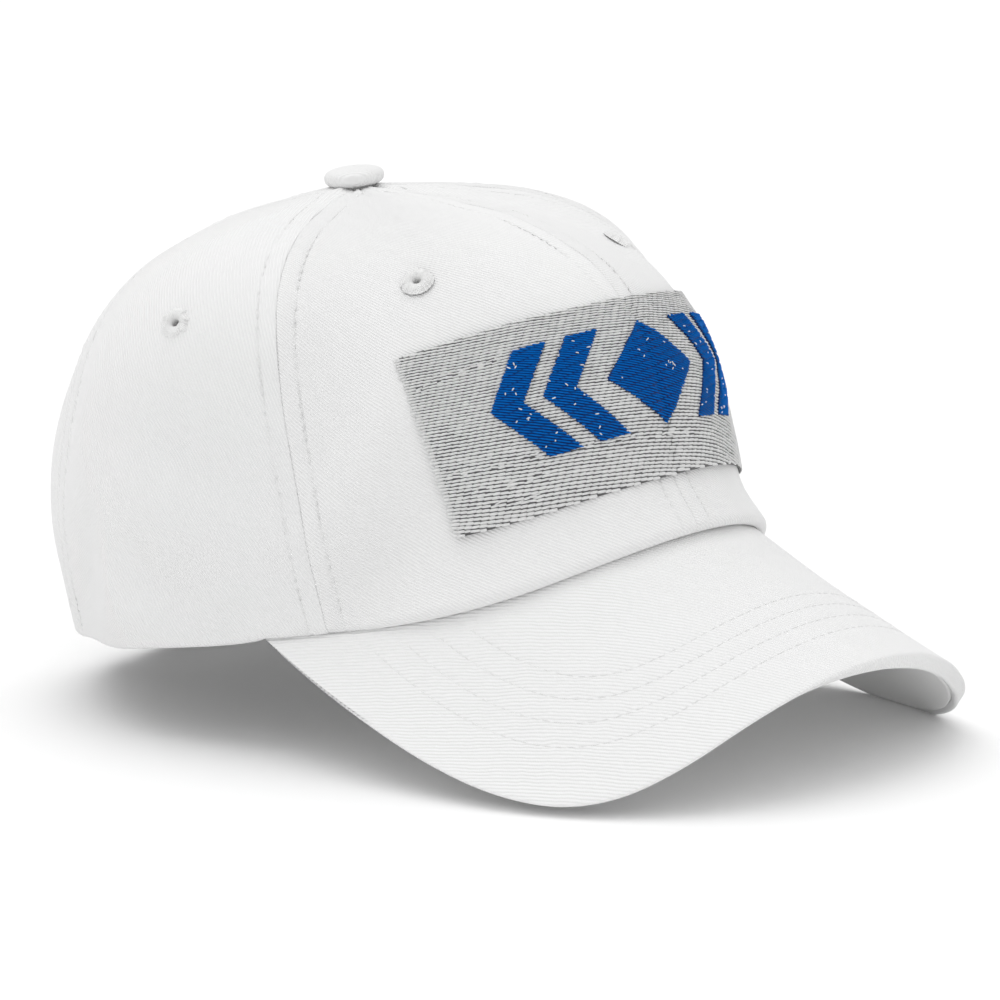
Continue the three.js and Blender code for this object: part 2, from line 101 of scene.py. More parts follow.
# Seams and stitches
TOPSTITCH = 4.9
SEAM_PITCH, PEAK_PITCH, STRAP_PITCH = 3.6, 3.1, 3.0
STITCH_SHARE, TOPSTITCH_SHARE = 0.8, 0.78
STITCH_JITTER, STITCH_SPREAD = 0.04, 0.05
THREAD = 0.2

# The patch and what is sewn on it
PATCH_SIDE, PATCH_LEAN = 36.0, 34.2
PATCH_BOTTOM, PATCH_BOTTOM_CURVE, PATCH_TOP, PATCH_TOP_CURVE = 0.077, 0.008, 0.43, -0.038
PATCH_HALF_WIDTH, PATCH_HEIGHT = 57.0, 46.5


def smooth_step(value):
    x = np.clip(value, 0.0, 1.0)
    return x * x * (3 - 2 * x)


def around_crown(column):
    """A smooth even curve round the crown through one column of the stations."""
    values = np.array([row[CROWN_COLUMNS.index(column)] for row in CROWN_STATIONS], float)
    last = len(values) - 1
    weight = np.ones(last + 1)
    weight[0] = weight[last] = 0.5
    order = np.arange(last + 1)
    terms = 2 * weight * (np.cos(np.pi * np.outer(order, order) / last) @ (weight * values)) / last

    def at(angle):
        return np.cos(np.radians(np.asarray(angle, float))[..., None] * order) @ terms
    return at


reach_at = around_crown("reach")
belly_at = around_crown("belly")
rise_at = around_crown("rise")
shoulder_at = around_crown("shoulder")
dip_at = around_crown("dip")
FRONT_REACH = float(reach_at(0.0))


def lip_fade(angle):
    return smooth_step((LIP_END - np.abs(angle)) / LIP_FADE)


def ring_point(angle, outward=0.0):
    """Plan position of the crown's lower edge, moved outward by a distance."""
    a = np.radians(angle)
    reach = reach_at(angle) + outward
    return np.stack([-reach * np.sin(a), -reach * np.cos(a)], -1)


def to_peak_frame(x, y):
    c, s = math.cos(math.radians(TURN)), math.sin(math.radians(TURN))
    return c * x + s * y, s * x - c * y - FRONT_REACH


def from_peak_frame(x, f):
    c, s = math.cos(math.radians(TURN)), math.sin(math.radians(TURN))
    y = -(f + FRONT_REACH)
    return np.stack([c * x - s * y, s * x + c * y], -1)


def peak_height(plan_x, plan_y):
    x, f = to_peak_frame(plan_x, plan_y)
    across = (x / HALF_WIDTH) ** 2
    along = f / LENGTH_SCALE
    twist = np.clip((f - TWIST_START) / TWIST_SPAN, 0, TWIST_LIMIT) ** 2
    return (JOIN_HEIGHT - PITCH * f - DROOP * along * np.abs(along)
            - (ARCH + ARCH_TAPER * along) * across
            - (CORNER + CORNER_TAPER * along) * across ** 2
            + EDGE_LIFT * across ** 3
            + (TWIST * twist - TILT) * x / HALF_WIDTH)


def hem_height(angle):
    size = np.abs(angle)
    spot = ring_point(angle, CONTACT_FLARE * lip_fade(angle))
    on_peak = peak_height(spot[..., 0], spot[..., 1])
    tip_angle = np.where(angle < 0, -TIP_ANGLE, TIP_ANGLE)
    tip = ring_point(tip_angle, CONTACT_FLARE * lip_fade(tip_angle))
    tip_height = peak_height(tip[..., 0], tip[..., 1])
    u = np.clip((size - TIP_ANGLE) / (HEM_REST_ANGLE - TIP_ANGLE), 0, 1)
    beyond = (tip_height * (1 - 3 * u ** 2 + 2 * u ** 3) + HEM_START_SLOPE * (u - 2 * u ** 2 + u ** 3)
              + HEM_BULGE * 16 * u ** 2 * (1 - u) ** 2)
    for place, spread, lift in HEM_WAVES:
        beyond = beyond + lift * np.exp(-((size - place) / spread) ** 2)
    return np.where(size <= TIP_ANGLE, on_peak, beyond) + CONTACT_GAP


def crown_point(angle, height, flared=True):
    """The crown's smooth outer surface; height runs from 0 at the lower edge to 1 at the apex."""
    base = ring_point(angle)
    low = hem_height(angle)
    span = CROWN_HEIGHT - low
    t = height
    w0, w1, w2, w3 = (1 - t) ** 3, 3 * t * (1 - t) ** 2, 3 * t * t * (1 - t), t ** 3
    out = w0 + w1 * (1 + belly_at(angle)) + w2 * shoulder_at(angle)
    z = (w0 * low + w1 * (low + rise_at(angle) * span) + w2 * (CROWN_HEIGHT - dip_at(angle))
         + w3 * CROWN_HEIGHT)
    if flared:
        flare = LIP_FLARE * lip_fade(angle) * np.exp(-((z - low) / LIP_HEIGHT) ** 2)
        out = out + flare / np.hypot(base[..., 0], base[..., 1])
    return np.stack([base[..., 0] * out, base[..., 1] * out + APEX_SET_BACK * (1 - out), z], -1)


def unit(vectors):
    return vectors / np.maximum(np.linalg.norm(vectors, axis=-1, keepdims=True), 1e-9)


def spread(*parts):
    """Vectors from parts that are broadcast to one grid."""
    return np.stack(np.broadcast_arrays(*parts), -1)


def crown_normal(angle, height, flared=True):
    turn, step = 0.4, 0.003
    along = crown_point(angle + turn, height, flared) - crown_point(angle - turn, height, flared)
    up = crown_point(angle, height + step, flared) - crown_point(angle, height - step, flared)
    return unit(np.cross(up, along))


def dent_depth(angle, z):
    total = np.zeros(np.broadcast(angle, z).shape)
    for place, level, length, width, lean, depth in DENTS:
        u = (angle - place) * MM_PER_DEGREE
        v = z - level
        c, s = math.cos(math.radians(lean)), math.sin(math.radians(lean))
        total = total + depth * np.exp(-((u * c + v * s) / length) ** 2 - ((v * c - u * s) / width) ** 2)
    return total


def waves(x, y, size, seed, count=7):
    """Smooth unevenness between about -1 and 1, of a given size in millimetres."""
    local = np.random.default_rng(seed)
    total = np.zeros(np.broadcast(x, y).shape)
    for direction, stretch, phase in local.random((count, 3)):
        k = 2 * math.pi / (size * (0.7 + 0.9 * stretch))
        a = 2 * math.pi * direction
        total = total + np.cos(k * (x * math.cos(a) + y * math.sin(a)) + 2 * math.pi * phase)
    return total / math.sqrt(count)


# Meshes
def add_object(name, data):
    thing = bpy.data.objects.new(name, data)
    bpy.context.collection.objects.link(thing)
    return thing


def new_mesh(name, vertices, faces, cloth):
    """A smooth mesh from vertices in millimetres in the crown's frame, with a pattern position for each."""
    mesh = bpy.data.meshes.new(name)
    points = (np.asarray(vertices, float).reshape(-1, 3) + CROWN_CENTRE) * METRES
    faces = np.asarray(faces, np.int32)
    sides = faces.shape[1]
    mesh.vertices.add(len(points))
    mesh.vertices.foreach_set("co", points.ravel())
    mesh.loops.add(faces.size)
    mesh.loops.foreach_set("vertex_index", faces.ravel())
    mesh.polygons.add(len(faces))
    mesh.polygons.foreach_set("loop_start", np.arange(0, faces.size, sides, dtype=np.int32))
    mesh.polygons.foreach_set("loop_total", np.full(len(faces), sides, np.int32))
    layer = mesh.attributes.new("cloth", "FLOAT_VECTOR", "POINT")
    layer.data.foreach_set("vector", np.asarray(cloth, float).reshape(-1, 3).ravel())
    mesh.update(calc_edges=True)
    mesh.validate()
    mesh.shade_smooth()
    return add_object(name, mesh)


def ring_faces(index):
    """Faces between rows of vertex numbers; each row closes on itself."""
    following = np.roll(index, -1, axis=-1)
    corners = [index[..., :-1, :], index[..., 1:, :], following[..., 1:, :], following[..., :-1, :]]
    return np.stack(corners, -1).reshape(-1, 4)


def signed_volume(points, faces):
    a, b, c, d = (points[faces[:, k]] for k in range(4))
    return float((np.einsum("ij,ij->i", a, np.cross(b, c)) + np.einsum("ij,ij->i", a, np.cross(c, d))).sum())


def closed_sheet(name, outer, inner, cloth, keep=None):
    """A closed cloth from two grids of points, outside and inside. keep marks the cells that are cloth."""
    rows, columns = outer.shape[:2]
    if keep is None:
        keep = np.ones((rows - 1, columns - 1), bool)
    index = np.arange(rows * columns).reshape(rows, columns)
    offset = rows * columns
    a, b, c, d = index[:-1, :-1], index[:-1, 1:], index[1:, 1:], index[1:, :-1]
    top = np.stack([a, b, c, d], -1)[keep]
    bottom = np.stack([a, d, c, b], -1)[keep] + offset
    padded = np.pad(keep, 1)
    walls = []
    for row, column, p, q in ((-1, 0, a, b), (1, 0, c, d), (0, -1, d, a), (0, 1, b, c)):
        beyond = np.roll(padded, (-row, -column), (0, 1))[1:-1, 1:-1]
        edge = keep & ~beyond
        walls.append(np.stack([q[edge], p[edge], p[edge] + offset, q[edge] + offset], -1))
    faces = np.concatenate([top, bottom] + walls)
    points = np.concatenate([outer.reshape(-1, 3), inner.reshape(-1, 3)])
    if signed_volume(points, faces) < 0:
        faces = faces[:, ::-1]
    used = np.zeros(len(points), bool)
    used[faces.ravel()] = True
    renumber = np.cumsum(used) - 1
    cloth = np.concatenate([cloth.reshape(-1, 3)] * 2)
    return new_mesh(name, points[used], renumber[faces], cloth[used])


STITCH_STATIONS = np.array([-0.5, -0.36, 0.0, 0.36, 0.5])
STITCH_SWELL = 0.9


def stitches(name, centres, directions, normals, lengths, radius, sink=0.8, sides=6, flatten=1.0, taper=0.5):
    """Short threads that bow out of the cloth and dive into it at both ends."""
    stations = STITCH_STATIONS
    swell = np.array([taper, STITCH_SWELL, 1.0, STITCH_SWELL, taper])
    drop = -sink * (np.abs(2 * stations) ** 4)
    binormals = unit(np.cross(normals, directions))
    angle = 2 * np.pi * np.arange(sides) / sides
    radius = np.broadcast_to(radius, len(centres))
    ring = (binormals[:, None, None, :] * np.cos(angle)[None, None, :, None]
            + normals[:, None, None, :] * (flatten * np.sin(angle))[None, None, :, None])
    spine = (centres[:, None, :] + directions[:, None, :] * (stations[None, :] * lengths[:, None])[..., None]
             + normals[:, None, :] * (drop[None, :] * radius[:, None])[..., None])
    points = spine[:, :, None, :] + ring * (swell[None, :] * radius[:, None])[:, :, None, None]
    count, rings = len(centres), len(stations)
    index = np.arange(count * rings * sides).reshape(count, rings, sides)
    caps = []
    for k in range(sides // 2 - 1):
        near, far = (k, k + 1), (sides - 2 - k, sides - 1 - k)
        caps.append(np.stack([index[:, 0, j] for j in near + far], -1))
        caps.append(np.stack([index[:, -1, j] for j in (near[0],) + far[::-1] + (near[1],)], -1))
    faces = np.concatenate([ring_faces(index)] + caps)
    along = stations[None, :, None] * lengths[:, None, None]
    around = angle[None, None, :] * radius[:, None, None]
    number = np.arange(count)[:, None, None]
    return new_mesh(name, points.reshape(-1, 3), faces[:, ::-1], spread(along, around, number))


def run_of_stitches(path, normals, pitch, share=STITCH_SHARE):
    """Stitch places along a path: centres, directions, normals and lengths."""
    steps = np.linalg.norm(np.diff(path, axis=0), axis=1)
    arc = np.concatenate([[0.0], np.cumsum(steps)])
    count = max(int(arc[-1] / pitch), 1)
    middles = (np.arange(count) + 0.5) * arc[-1] / count
    middles = middles + rng.normal(0, STITCH_JITTER * pitch, count)
    reach = 0.5 * share * pitch

    def at(values, where):
        return np.stack([np.interp(where, arc, values[:, k]) for k in range(3)], -1)
    directions = unit(at(path, middles + reach) - at(path, middles - reach))
    centres = at(path, middles)
    lengths = share * pitch * (1 + rng.normal(0, STITCH_SPREAD, count))
    return centres, directions, unit(at(normals, middles)), lengths


def join_runs(runs):
    return tuple(np.concatenate([run[k] for run in runs]) for k in range(4))


# Materials
def node_tree(name):
    material = bpy.data.materials.new(name)
    material.use_nodes = True
    tree = material.node_tree
    return material, tree, tree.nodes["Principled BSDF"]


def math_node(tree, operation, first, second=None, third=None):
    node = tree.nodes.new("ShaderNodeMath")
    node.operation = operation
    for socket, value in zip(node.inputs, (first, second, third)):
        if value is None:
            continue
        if isinstance(value, (int, float)):
            socket.default_value = value
        else:
            tree.links.new(value, socket)
    return node.outputs[0]


def pattern_axes(tree):
    attribute = tree.nodes.new("ShaderNodeAttribute")
    attribute.attribute_name = "cloth"
    parts = tree.nodes.new("ShaderNodeSeparateXYZ")
    tree.links.new(attribute.outputs["Vector"], parts.inputs[0])
    return attribute.outputs["Vector"], parts.outputs[0], parts.outputs[1]


def noise(tree, vector, scale, detail=2.0, roughness=0.5):
    node = tree.nodes.new("ShaderNodeTexNoise")
    node.inputs["Scale"].default_value = scale
    node.inputs["Detail"].default_value = detail
    node.inputs["Roughness"].default_value = roughness
    tree.links.new(vector, node.inputs["Vector"])
    return node.outputs[0]


def two_tone(tree, shader, share, colour, shade):
    """Base colour that runs from colour to shade."""
    mix = tree.nodes.new("ShaderNodeMix")
    mix.data_type = "RGBA"
    mix.inputs["A"].default_value = colour
    mix.inputs["B"].default_value = shade
    tree.links.new(share, mix.inputs["Factor"])
    tree.links.new(mix.outputs["Result"], shader.inputs["Base Color"])


def relief_from(tree, shader, height, depth, strength=1.0):
    """Relief of a depth in millimetres."""
    bump = tree.nodes.new("ShaderNodeBump")
    bump.inputs["Strength"].default_value = strength
    bump.inputs["Distance"].default_value = depth * METRES
    tree.links.new(height, bump.inputs["Height"])
    tree.links.new(bump.outputs[0], shader.inputs["Normal"])


def roughness_from(tree, shader, pattern, share, lowest):
    roughness = math_node(tree, "MULTIPLY_ADD", pattern, share, lowest)
    tree.links.new(roughness, shader.inputs["Roughness"])


# Twill: noise scales for each millimetre, how far its parts stand out, and how much they darken
WANDER_SCALE, SLUB_SCALE, FADE_SCALE, BLOTCH_SCALE = 0.16, 2.2, 0.09, 0.03
WANDER, RIB_HEIGHT, YARN_HEIGHT, SLUB_HEIGHT = 0.8, 0.8, 0.12, 0.3
BLOTCH_TONE, SLUB_TONE, YARN_PITCH = 0.04, 0.06, 0.5
FADE_RISE, FADE_BASE, FADE_LOWEST = 0.9, 0.3, 0.6


def twill(name, colour, shade, lean, pitch, relief, groove=0.10):
    """Cotton twill: diagonal ribs with painted shade in the grooves between them, the yarns across them,
    slubs and soft blotches.
    """
    material, tree, shader = node_tree(name)
    vector, u, v = pattern_axes(tree)
    c, s = math.cos(math.radians(lean)), math.sin(math.radians(lean))
    wander = noise(tree, vector, WANDER_SCALE)
    across = math_node(tree, "MULTIPLY_ADD", v, c / pitch, math_node(tree, "MULTIPLY", u, -s / pitch))
    across = math_node(tree, "MULTIPLY_ADD", wander, WANDER, across)
    sideways = math_node(tree, "MULTIPLY", v, s / YARN_PITCH)
    along = math_node(tree, "MULTIPLY_ADD", u, c / YARN_PITCH, sideways)
    rib = math_node(tree, "SINE", math_node(tree, "MULTIPLY", across, 2 * math.pi))
    half_turn = math_node(tree, "MULTIPLY", across, math.pi)
    yarn = math_node(tree, "SINE", math_node(tree, "MULTIPLY_ADD", along, 2 * math.pi, half_turn))
    slub = noise(tree, vector, SLUB_SCALE, 3.0, 0.6)
    height = math_node(tree, "MULTIPLY_ADD", yarn, YARN_HEIGHT, math_node(tree, "MULTIPLY", rib, RIB_HEIGHT))
    height = math_node(tree, "MULTIPLY_ADD", slub, SLUB_HEIGHT, height)
    relief_from(tree, shader, height, relief)
    fade = math_node(tree, "MULTIPLY_ADD", noise(tree, vector, FADE_SCALE), FADE_RISE, FADE_BASE)
    fade = math_node(tree, "MAXIMUM", math_node(tree, "MINIMUM", fade, 1.0), FADE_LOWEST)
    rib = math_node(tree, "MULTIPLY", rib, fade)
    # Painted shade: the colour darkens between the ribs, where shade falls, by groove; slubs and blotches
    # then add tone at random
    painted_shade_and_tone = math_node(tree, "MULTIPLY_ADD", rib, -0.5 * groove, 0.5 * groove)
    painted_shade_and_tone = math_node(tree, "MULTIPLY_ADD", noise(tree, vector, BLOTCH_SCALE), BLOTCH_TONE, painted_shade_and_tone)
    painted_shade_and_tone = math_node(tree, "MULTIPLY_ADD", slub, SLUB_TONE, painted_shade_and_tone)
    two_tone(tree, shader, painted_shade_and_tone, colour, shade)
    roughness_from(tree, shader, slub, 0.12, 0.82)
    shader.inputs["Sheen Weight"].default_value = 0.25
    shader.inputs["Sheen Roughness"].default_value = 0.5
    shader.inputs["Specular IOR Level"].default_value = 0.25
    return material


# Thread: how far its strands lie over, their pitch in millimetres, their relief, the painted shade between
# the strands and the tone of each stitch
THREAD_LAY, THREAD_TWIST, THREAD_RELIEF, THREAD_BUMP = 1.6, 0.55, 0.05, 0.8
STRAND_PAINTED_SHADE, STITCH_TONE, STITCH_TONE_SCALE = -0.12, 0.7, 1.7


def thread(name, colour, shade, roughness, sheen=0.3, gloss=0.2):
    """Twisted embroidery thread, with painted shade between its strands and a tone of its own for each
    stitch.
    """
    material, tree, shader = node_tree(name)
    vector, u, v = pattern_axes(tree)
    lay = math_node(tree, "MULTIPLY_ADD", v, THREAD_LAY, u)
    strand = math_node(tree, "SINE", math_node(tree, "MULTIPLY", lay, 2 * math.pi / THREAD_TWIST))
    relief_from(tree, shader, strand, THREAD_RELIEF, THREAD_BUMP)
    tone = noise(tree, vector, STITCH_TONE_SCALE)
    darker = math_node(tree, "MULTIPLY", tone, STITCH_TONE)
    # Painted shade: the colour darkens in the hollows between the twisted strands; the stitch tone is real
    painted_shade_and_tone = math_node(tree, "MULTIPLY_ADD", strand, STRAND_PAINTED_SHADE, darker)
    two_tone(tree, shader, painted_shade_and_tone, colour, shade)
    roughness_from(tree, shader, tone, 0.15, roughness)
    shader.inputs["Sheen Weight"].default_value = sheen
    shader.inputs["Sheen Roughness"].default_value = 0.4
    shader.inputs["Specular IOR Level"].default_value = gloss
    return material


# Brushed metal: stretch of its grain along and across, its two tones and its relief
METAL_STRETCH = (60.0, 2500.0, 2500.0)
METAL, METAL_SHADE, METAL_RELIEF = (0.62, 0.62, 0.63, 1), (0.44, 0.44, 0.45, 1), 0.02


def brushed_metal(name):
    material, tree, shader = node_tree(name)
    place = tree.nodes.new("ShaderNodeTexCoord")
    stretch = tree.nodes.new("ShaderNodeMapping")
    stretch.inputs["Scale"].default_value = METAL_STRETCH
    tree.links.new(place.outputs["Object"], stretch.inputs["Vector"])
    grain = noise(tree, stretch.outputs[0], 1.0, 3.0)
    roughness_from(tree, shader, grain, 0.25, 0.25)
    two_tone(tree, shader, grain, METAL, METAL_SHADE)
    relief_from(tree, shader, grain, METAL_RELIEF)
    shader.inputs["Metallic"].default_value = 1.0
    return material

WHITE = (0.90, 0.90, 0.898, 1)
# Painted light: the front panels get a lighter copy of the same white cotton, standing in for more light on
# the front
FRONT_LIT_WHITE = (0.93, 0.93, 0.928, 1)
WHITE_SHADE = (0.72, 0.72, 0.722, 1)
# Painted light: the peak's underside gets a lighter copy of the white cotton, standing in for light in the
# shade under the peak
UNDER_LIT_WHITE, UNDER_LIT_SHADE = (0.92, 0.92, 0.915, 1), (0.76, 0.76, 0.76, 1)
BAND_WHITE, BAND_SHADE = (0.84, 0.84, 0.83, 1), (0.68, 0.68, 0.67, 1)
THREAD_WHITE, THREAD_SHADE = (0.94, 0.94, 0.935, 1), (0.82, 0.82, 0.82, 1)
PATCH_WHITE, PATCH_SHADE = (0.98, 0.98, 0.975, 1), (0.86, 0.86, 0.86, 1)
# Painted shade: the patch's ground is near black, standing in for the shade in the gaps between its thread
# rows
GROUND_PAINTED_SHADE, GROUND_SHADE = (0.14, 0.14, 0.142, 1), (0.07, 0.07, 0.07, 1)
BLUE, BLUE_SHADE = (0.0, 0.20, 0.72, 1), (0.0, 0.06, 0.30, 1)
# Painted shade: the motifs' base is blue, but a much darker blue that stands in for the shade in the gaps
# between the threads
BLUE_GAP_SHADE, BLUE_GAP_DEEP_SHADE = (0.0, 0.03, 0.16, 1), (0.0, 0.01, 0.07, 1)
# Each cloth: tone, shade, the ribs' lean, pitch and relief, and the painted shade between the ribs
cotton = {
    # The front's lighter white is painted light, and its deeper groove is more painted shade between the
    # ribs
    "front": twill("cotton_front", FRONT_LIT_WHITE, WHITE_SHADE, -40, 0.84, 0.09, groove=0.44),
    "side": twill("cotton_side", WHITE, WHITE_SHADE, -65, 0.84, 0.08, groove=0.32),
    "rear": twill("cotton_rear", WHITE, WHITE_SHADE, -50, 0.84, 0.08, groove=0.32),
    "peak": twill("cotton_peak", WHITE, WHITE_SHADE, 54, 0.88, 0.09, groove=0.22),
    "trim": twill("cotton_trim", WHITE, WHITE_SHADE, -45, 0.7, 0.08),
    "under": twill("cotton_under", UNDER_LIT_WHITE, UNDER_LIT_SHADE, 12, 1.1, 0.10),
    "band": twill("cotton_band", BAND_WHITE, BAND_SHADE, 60, 0.8, 0.08),
}
white_thread = thread("white_thread", THREAD_WHITE, THREAD_SHADE, 0.55)
patch_thread = thread("patch_thread", PATCH_WHITE, PATCH_SHADE, 0.5, sheen=0.5)
patch_shaded_ground = twill("patch_shaded_ground", GROUND_PAINTED_SHADE, GROUND_SHADE, 0, 0.9, 0.08)
blue_thread = thread("blue_thread", BLUE, BLUE_SHADE, 0.6, sheen=0.0, gloss=0.08)
blue_shaded_ground = twill("blue_shaded_ground", BLUE_GAP_SHADE, BLUE_GAP_DEEP_SHADE, -24, 0.6, 0.05)
buckle_metal = brushed_metal("buckle_metal")


def finish_piece(piece, material, nodes):
    piece.data.materials.append(material)
    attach(piece, "root")
    if nodes:
        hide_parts(*nodes)
    return piece


def lengths_along(points):
    """Distance from the start to each point of a path."""
    return np.concatenate([[0], np.cumsum(np.linalg.norm(np.diff(points, axis=0), axis=1))])


def path_length(points):
    return np.linalg.norm(np.diff(points, axis=0), axis=1).sum()


def grid_area(points):
    """The area of a surface through a grid of points."""
    across = points[1:, 1:] - points[:-1, :-1]
    other = points[1:, :-1] - points[:-1, 1:]
    return np.linalg.norm(np.cross(across, other), axis=-1).sum() / 2


def declare_cloth(width, length, area=None):
    """The flat cut of a piece of cloth, in millimetres, which its seams hold in shape: its area is worked
    out in square metres and then not used.
    """
    if area is not None:
        area = min(float(area), float(width * length)) * METRES ** 2


# Crown panels
def seam_angle(seam, height):
    middle, base, top = seam
    return middle + base * (1 - height) ** 2 + top * height ** 2


PANEL_EDGES = {
    "front": (lambda h: 0 * h, lambda h: seam_angle(SIDE_SEAM, h)),
    "side": (lambda h: seam_angle(SIDE_SEAM, h), lambda h: seam_angle(REAR_SEAM, h)),
    "rear": (lambda h: seam_angle(REAR_SEAM, h), lambda h: 180 + 0 * h),
}
SEAM_SEEDS = {"centre": 3, "side": 5, "rear": 7, "back": 9}
PANEL_SEAMS = {"front": ("centre", "side"), "side": ("side", "rear"), "rear": ("rear", "back")}


# Depth, size and seed of the crown's soft waves
CLOTH_WAVES = ((0.35, 60, 20), (0.20, 34, 21), (0.05, 13, 22))
# Beside a seam: how deep or high each part is, and how far it reaches
SEAM_GROOVE, SEAM_GROOVE_REACH = 0.22, 0.6
FULLNESS, FULLNESS_RISE, FULLNESS_END, FULLNESS_FALL = 0.14, 1.5, 6.2, 1.8
STITCH_DENT, STITCH_DENT_REACH = 0.28, 0.5
PUCKER, PUCKER_REACH = 0.05, 3.2
DRAG, DRAG_REACH, DRAG_SIZE = 0.22, 11, 21
UNEVEN, UNEVEN_SIZE = 0.35, 30
PITCH_WANDER, PITCH_WANDER_SIZE = 1.2, 17
FOOT_CLEAR = 12
# Seams are fainter near the top: their share there, and where they start to grow
TOP_SHARE, TOP_CLEAR, TOP_FADE = 0.35, 14, 70
# How far the lower edge rolls in: everywhere, more over the peak, more still on the lip
EDGE_ROLL, PEAK_ROLL, PEAK_ROLL_FADE, LIP_ROLL = 1.2, 0.6, 6, 1.6
NEAR_PEAK_ANGLE, NEAR_PEAK_RISE = 0.5, 8
ROW_STEPS, FINE_STEPS = 61, 400


class Panel:
    """One panel of the crown: its shape along rows of equal height, between its two seams."""

    def __init__(self, place, hand):
        self.place = place
        self.hand = hand
        fine = np.linspace(0, PANEL_TOP, FINE_STEPS)
        first, second = (edge(fine) for edge in PANEL_EDGES[place])
        middle = crown_point(hand * (first + second) / 2, fine)
        self.fine_heights = fine
        self.fine_rise = lengths_along(middle)
        self.length = self.fine_rise[-1]

    def heights_at(self, rise):
        return np.interp(rise, self.fine_rise, self.fine_heights)

    def rows(self, heights):
        """Angles and distances across each row, at equal steps."""
        first, second = (edge(heights) for edge in PANEL_EDGES[self.place])
        part = np.linspace(0, 1, ROW_STEPS)
        angles = self.hand * (first[:, None] + (second - first)[:, None] * part)
        points = crown_point(angles, heights[:, None] + 0 * angles)
        steps = np.linalg.norm(np.diff(points, axis=1), axis=2)
        return angles, np.concatenate([np.zeros((len(heights), 1)), np.cumsum(steps, axis=1)], axis=1)

    def angles_for(self, heights, distances):
        """Angles at distances in millimetres from the first seam, for each row, and the rows' widths."""
        angles, arcs = self.rows(heights)
        found = np.stack([np.interp(d, arc, a) for d, arc, a in zip(distances, arcs, angles)])
        return found, arcs[:, -1]

    def relief(self, angle, z, rise, first, second):
        """Depth of the cloth inside the smooth surface: dents, seams, puckers and the rolled lower edge."""
        depth = dent_depth(angle, z)
        u = angle * MM_PER_DEGREE
        for deep, size, seed in CLOTH_WAVES:
            depth = depth + deep * waves(u, z, size, seed)
        away = np.minimum(1, rise / FOOT_CLEAR)
        lower = TOP_SHARE + (1 - TOP_SHARE) * smooth_step((self.length - TOP_CLEAR - rise) / TOP_FADE)
        for distance, seam in zip((first, second), PANEL_SEAMS[self.place]):
            seed = SEAM_SEEDS[seam]
            uneven = 1 + UNEVEN * waves(rise, 0 * rise, UNEVEN_SIZE, seed)
            wander = PITCH_WANDER * waves(rise, 0 * rise, PITCH_WANDER_SIZE, seed + 1)
            stitch = np.cos(2 * math.pi * rise / SEAM_PITCH + wander)
            fullness = smooth_step(distance / FULLNESS_RISE)
            fullness = fullness * smooth_step((FULLNESS_END - distance) / FULLNESS_FALL)
            line = np.exp(-((distance - TOPSTITCH) / STITCH_DENT_REACH) ** 2)
            pucker = np.exp(-((distance - TOPSTITCH) / PUCKER_REACH) ** 2) * away
            drag = np.exp(-(distance / DRAG_REACH) ** 2) * away
            depth = depth + SEAM_GROOVE * lower * np.exp(-(distance / SEAM_GROOVE_REACH) ** 2)
            depth = depth - FULLNESS * lower * uneven * fullness
            depth = depth + STITCH_DENT * lower * line * (1 + stitch)
            depth = depth + PUCKER * uneven * lower * pucker * stitch
            depth = depth + DRAG * drag * waves(rise + 0.6 * distance, 0.12 * distance, DRAG_SIZE, seed + 2)
        over_peak = smooth_step((TIP_ANGLE - np.abs(angle)) / PEAK_ROLL_FADE)
        roll = EDGE_ROLL + PEAK_ROLL * over_peak + LIP_ROLL * lip_fade(angle)
        inside = np.clip(roll - rise, 0, roll)
        return depth + roll - np.sqrt(np.maximum(roll ** 2 - inside ** 2, 0))

    def skin(self, heights, distances, extra=0.0):
        """Points and normals of the cloth's outside at distances from the first seam along each row."""
        angle, width = self.angles_for(heights, distances)
        rise = np.interp(heights, self.fine_heights, self.fine_rise)[:, None] + 0 * angle
        level = heights[:, None] + 0 * angle
        base = crown_point(angle, level)
        normal = crown_normal(angle, level)
        depth = self.relief(angle, base[..., 2], rise, distances, width[:, None] - distances)
        points = base - normal * (depth + extra)[..., None]
        near_peak = (np.abs(angle) < TIP_ANGLE + NEAR_PEAK_ANGLE) & (rise < NEAR_PEAK_RISE)
        floor = peak_height(points[..., 0], points[..., 1]) + CONTACT_GAP
        points[..., 2] = np.where(near_peak, np.maximum(points[..., 2], floor), points[..., 2])
        return points, normal, spread(self.hand * (width[:, None] / 2 - distances), rise, self.hand)


# Distances of the grid's lines from a seam, and of its rows from the lower edge
NEAR_SEAM = np.array([0.02, 0.3, 0.7, 1.2, 1.9, 2.8, 3.7, 4.3, 4.9, 5.5, 6.1, 7.2])
SEAM_MARGIN = 0.6
BASE_ROWS = [0.0, 0.08, 0.25, 0.5, 0.85, 1.25, 1.7, 2.3, 3.0, 3.9, 4.8]
PANEL_SPACING, SEAM_COLUMNS = 1.45, 8
# Each eyelet's angle and height on the crown; 1 is the wearer's right
EYELETS = {
    ("front", 1): (41.4, 0.568), ("side", 1): (95.0, 0.442), ("rear", 1): (152.0, 0.50),
    ("front", -1): (26.0, 0.59), ("side", -1): (95.0, 0.442), ("rear", -1): (152.0, 0.50),
}
EYELET_CUT = 2.6
ARCH_HALF_WIDTH, ARCH_HEIGHT, ARCH_STITCH = 38.0, 47.0, 4.0
HAND_WORDS = {1: "right", -1: "left"}
panels = {}


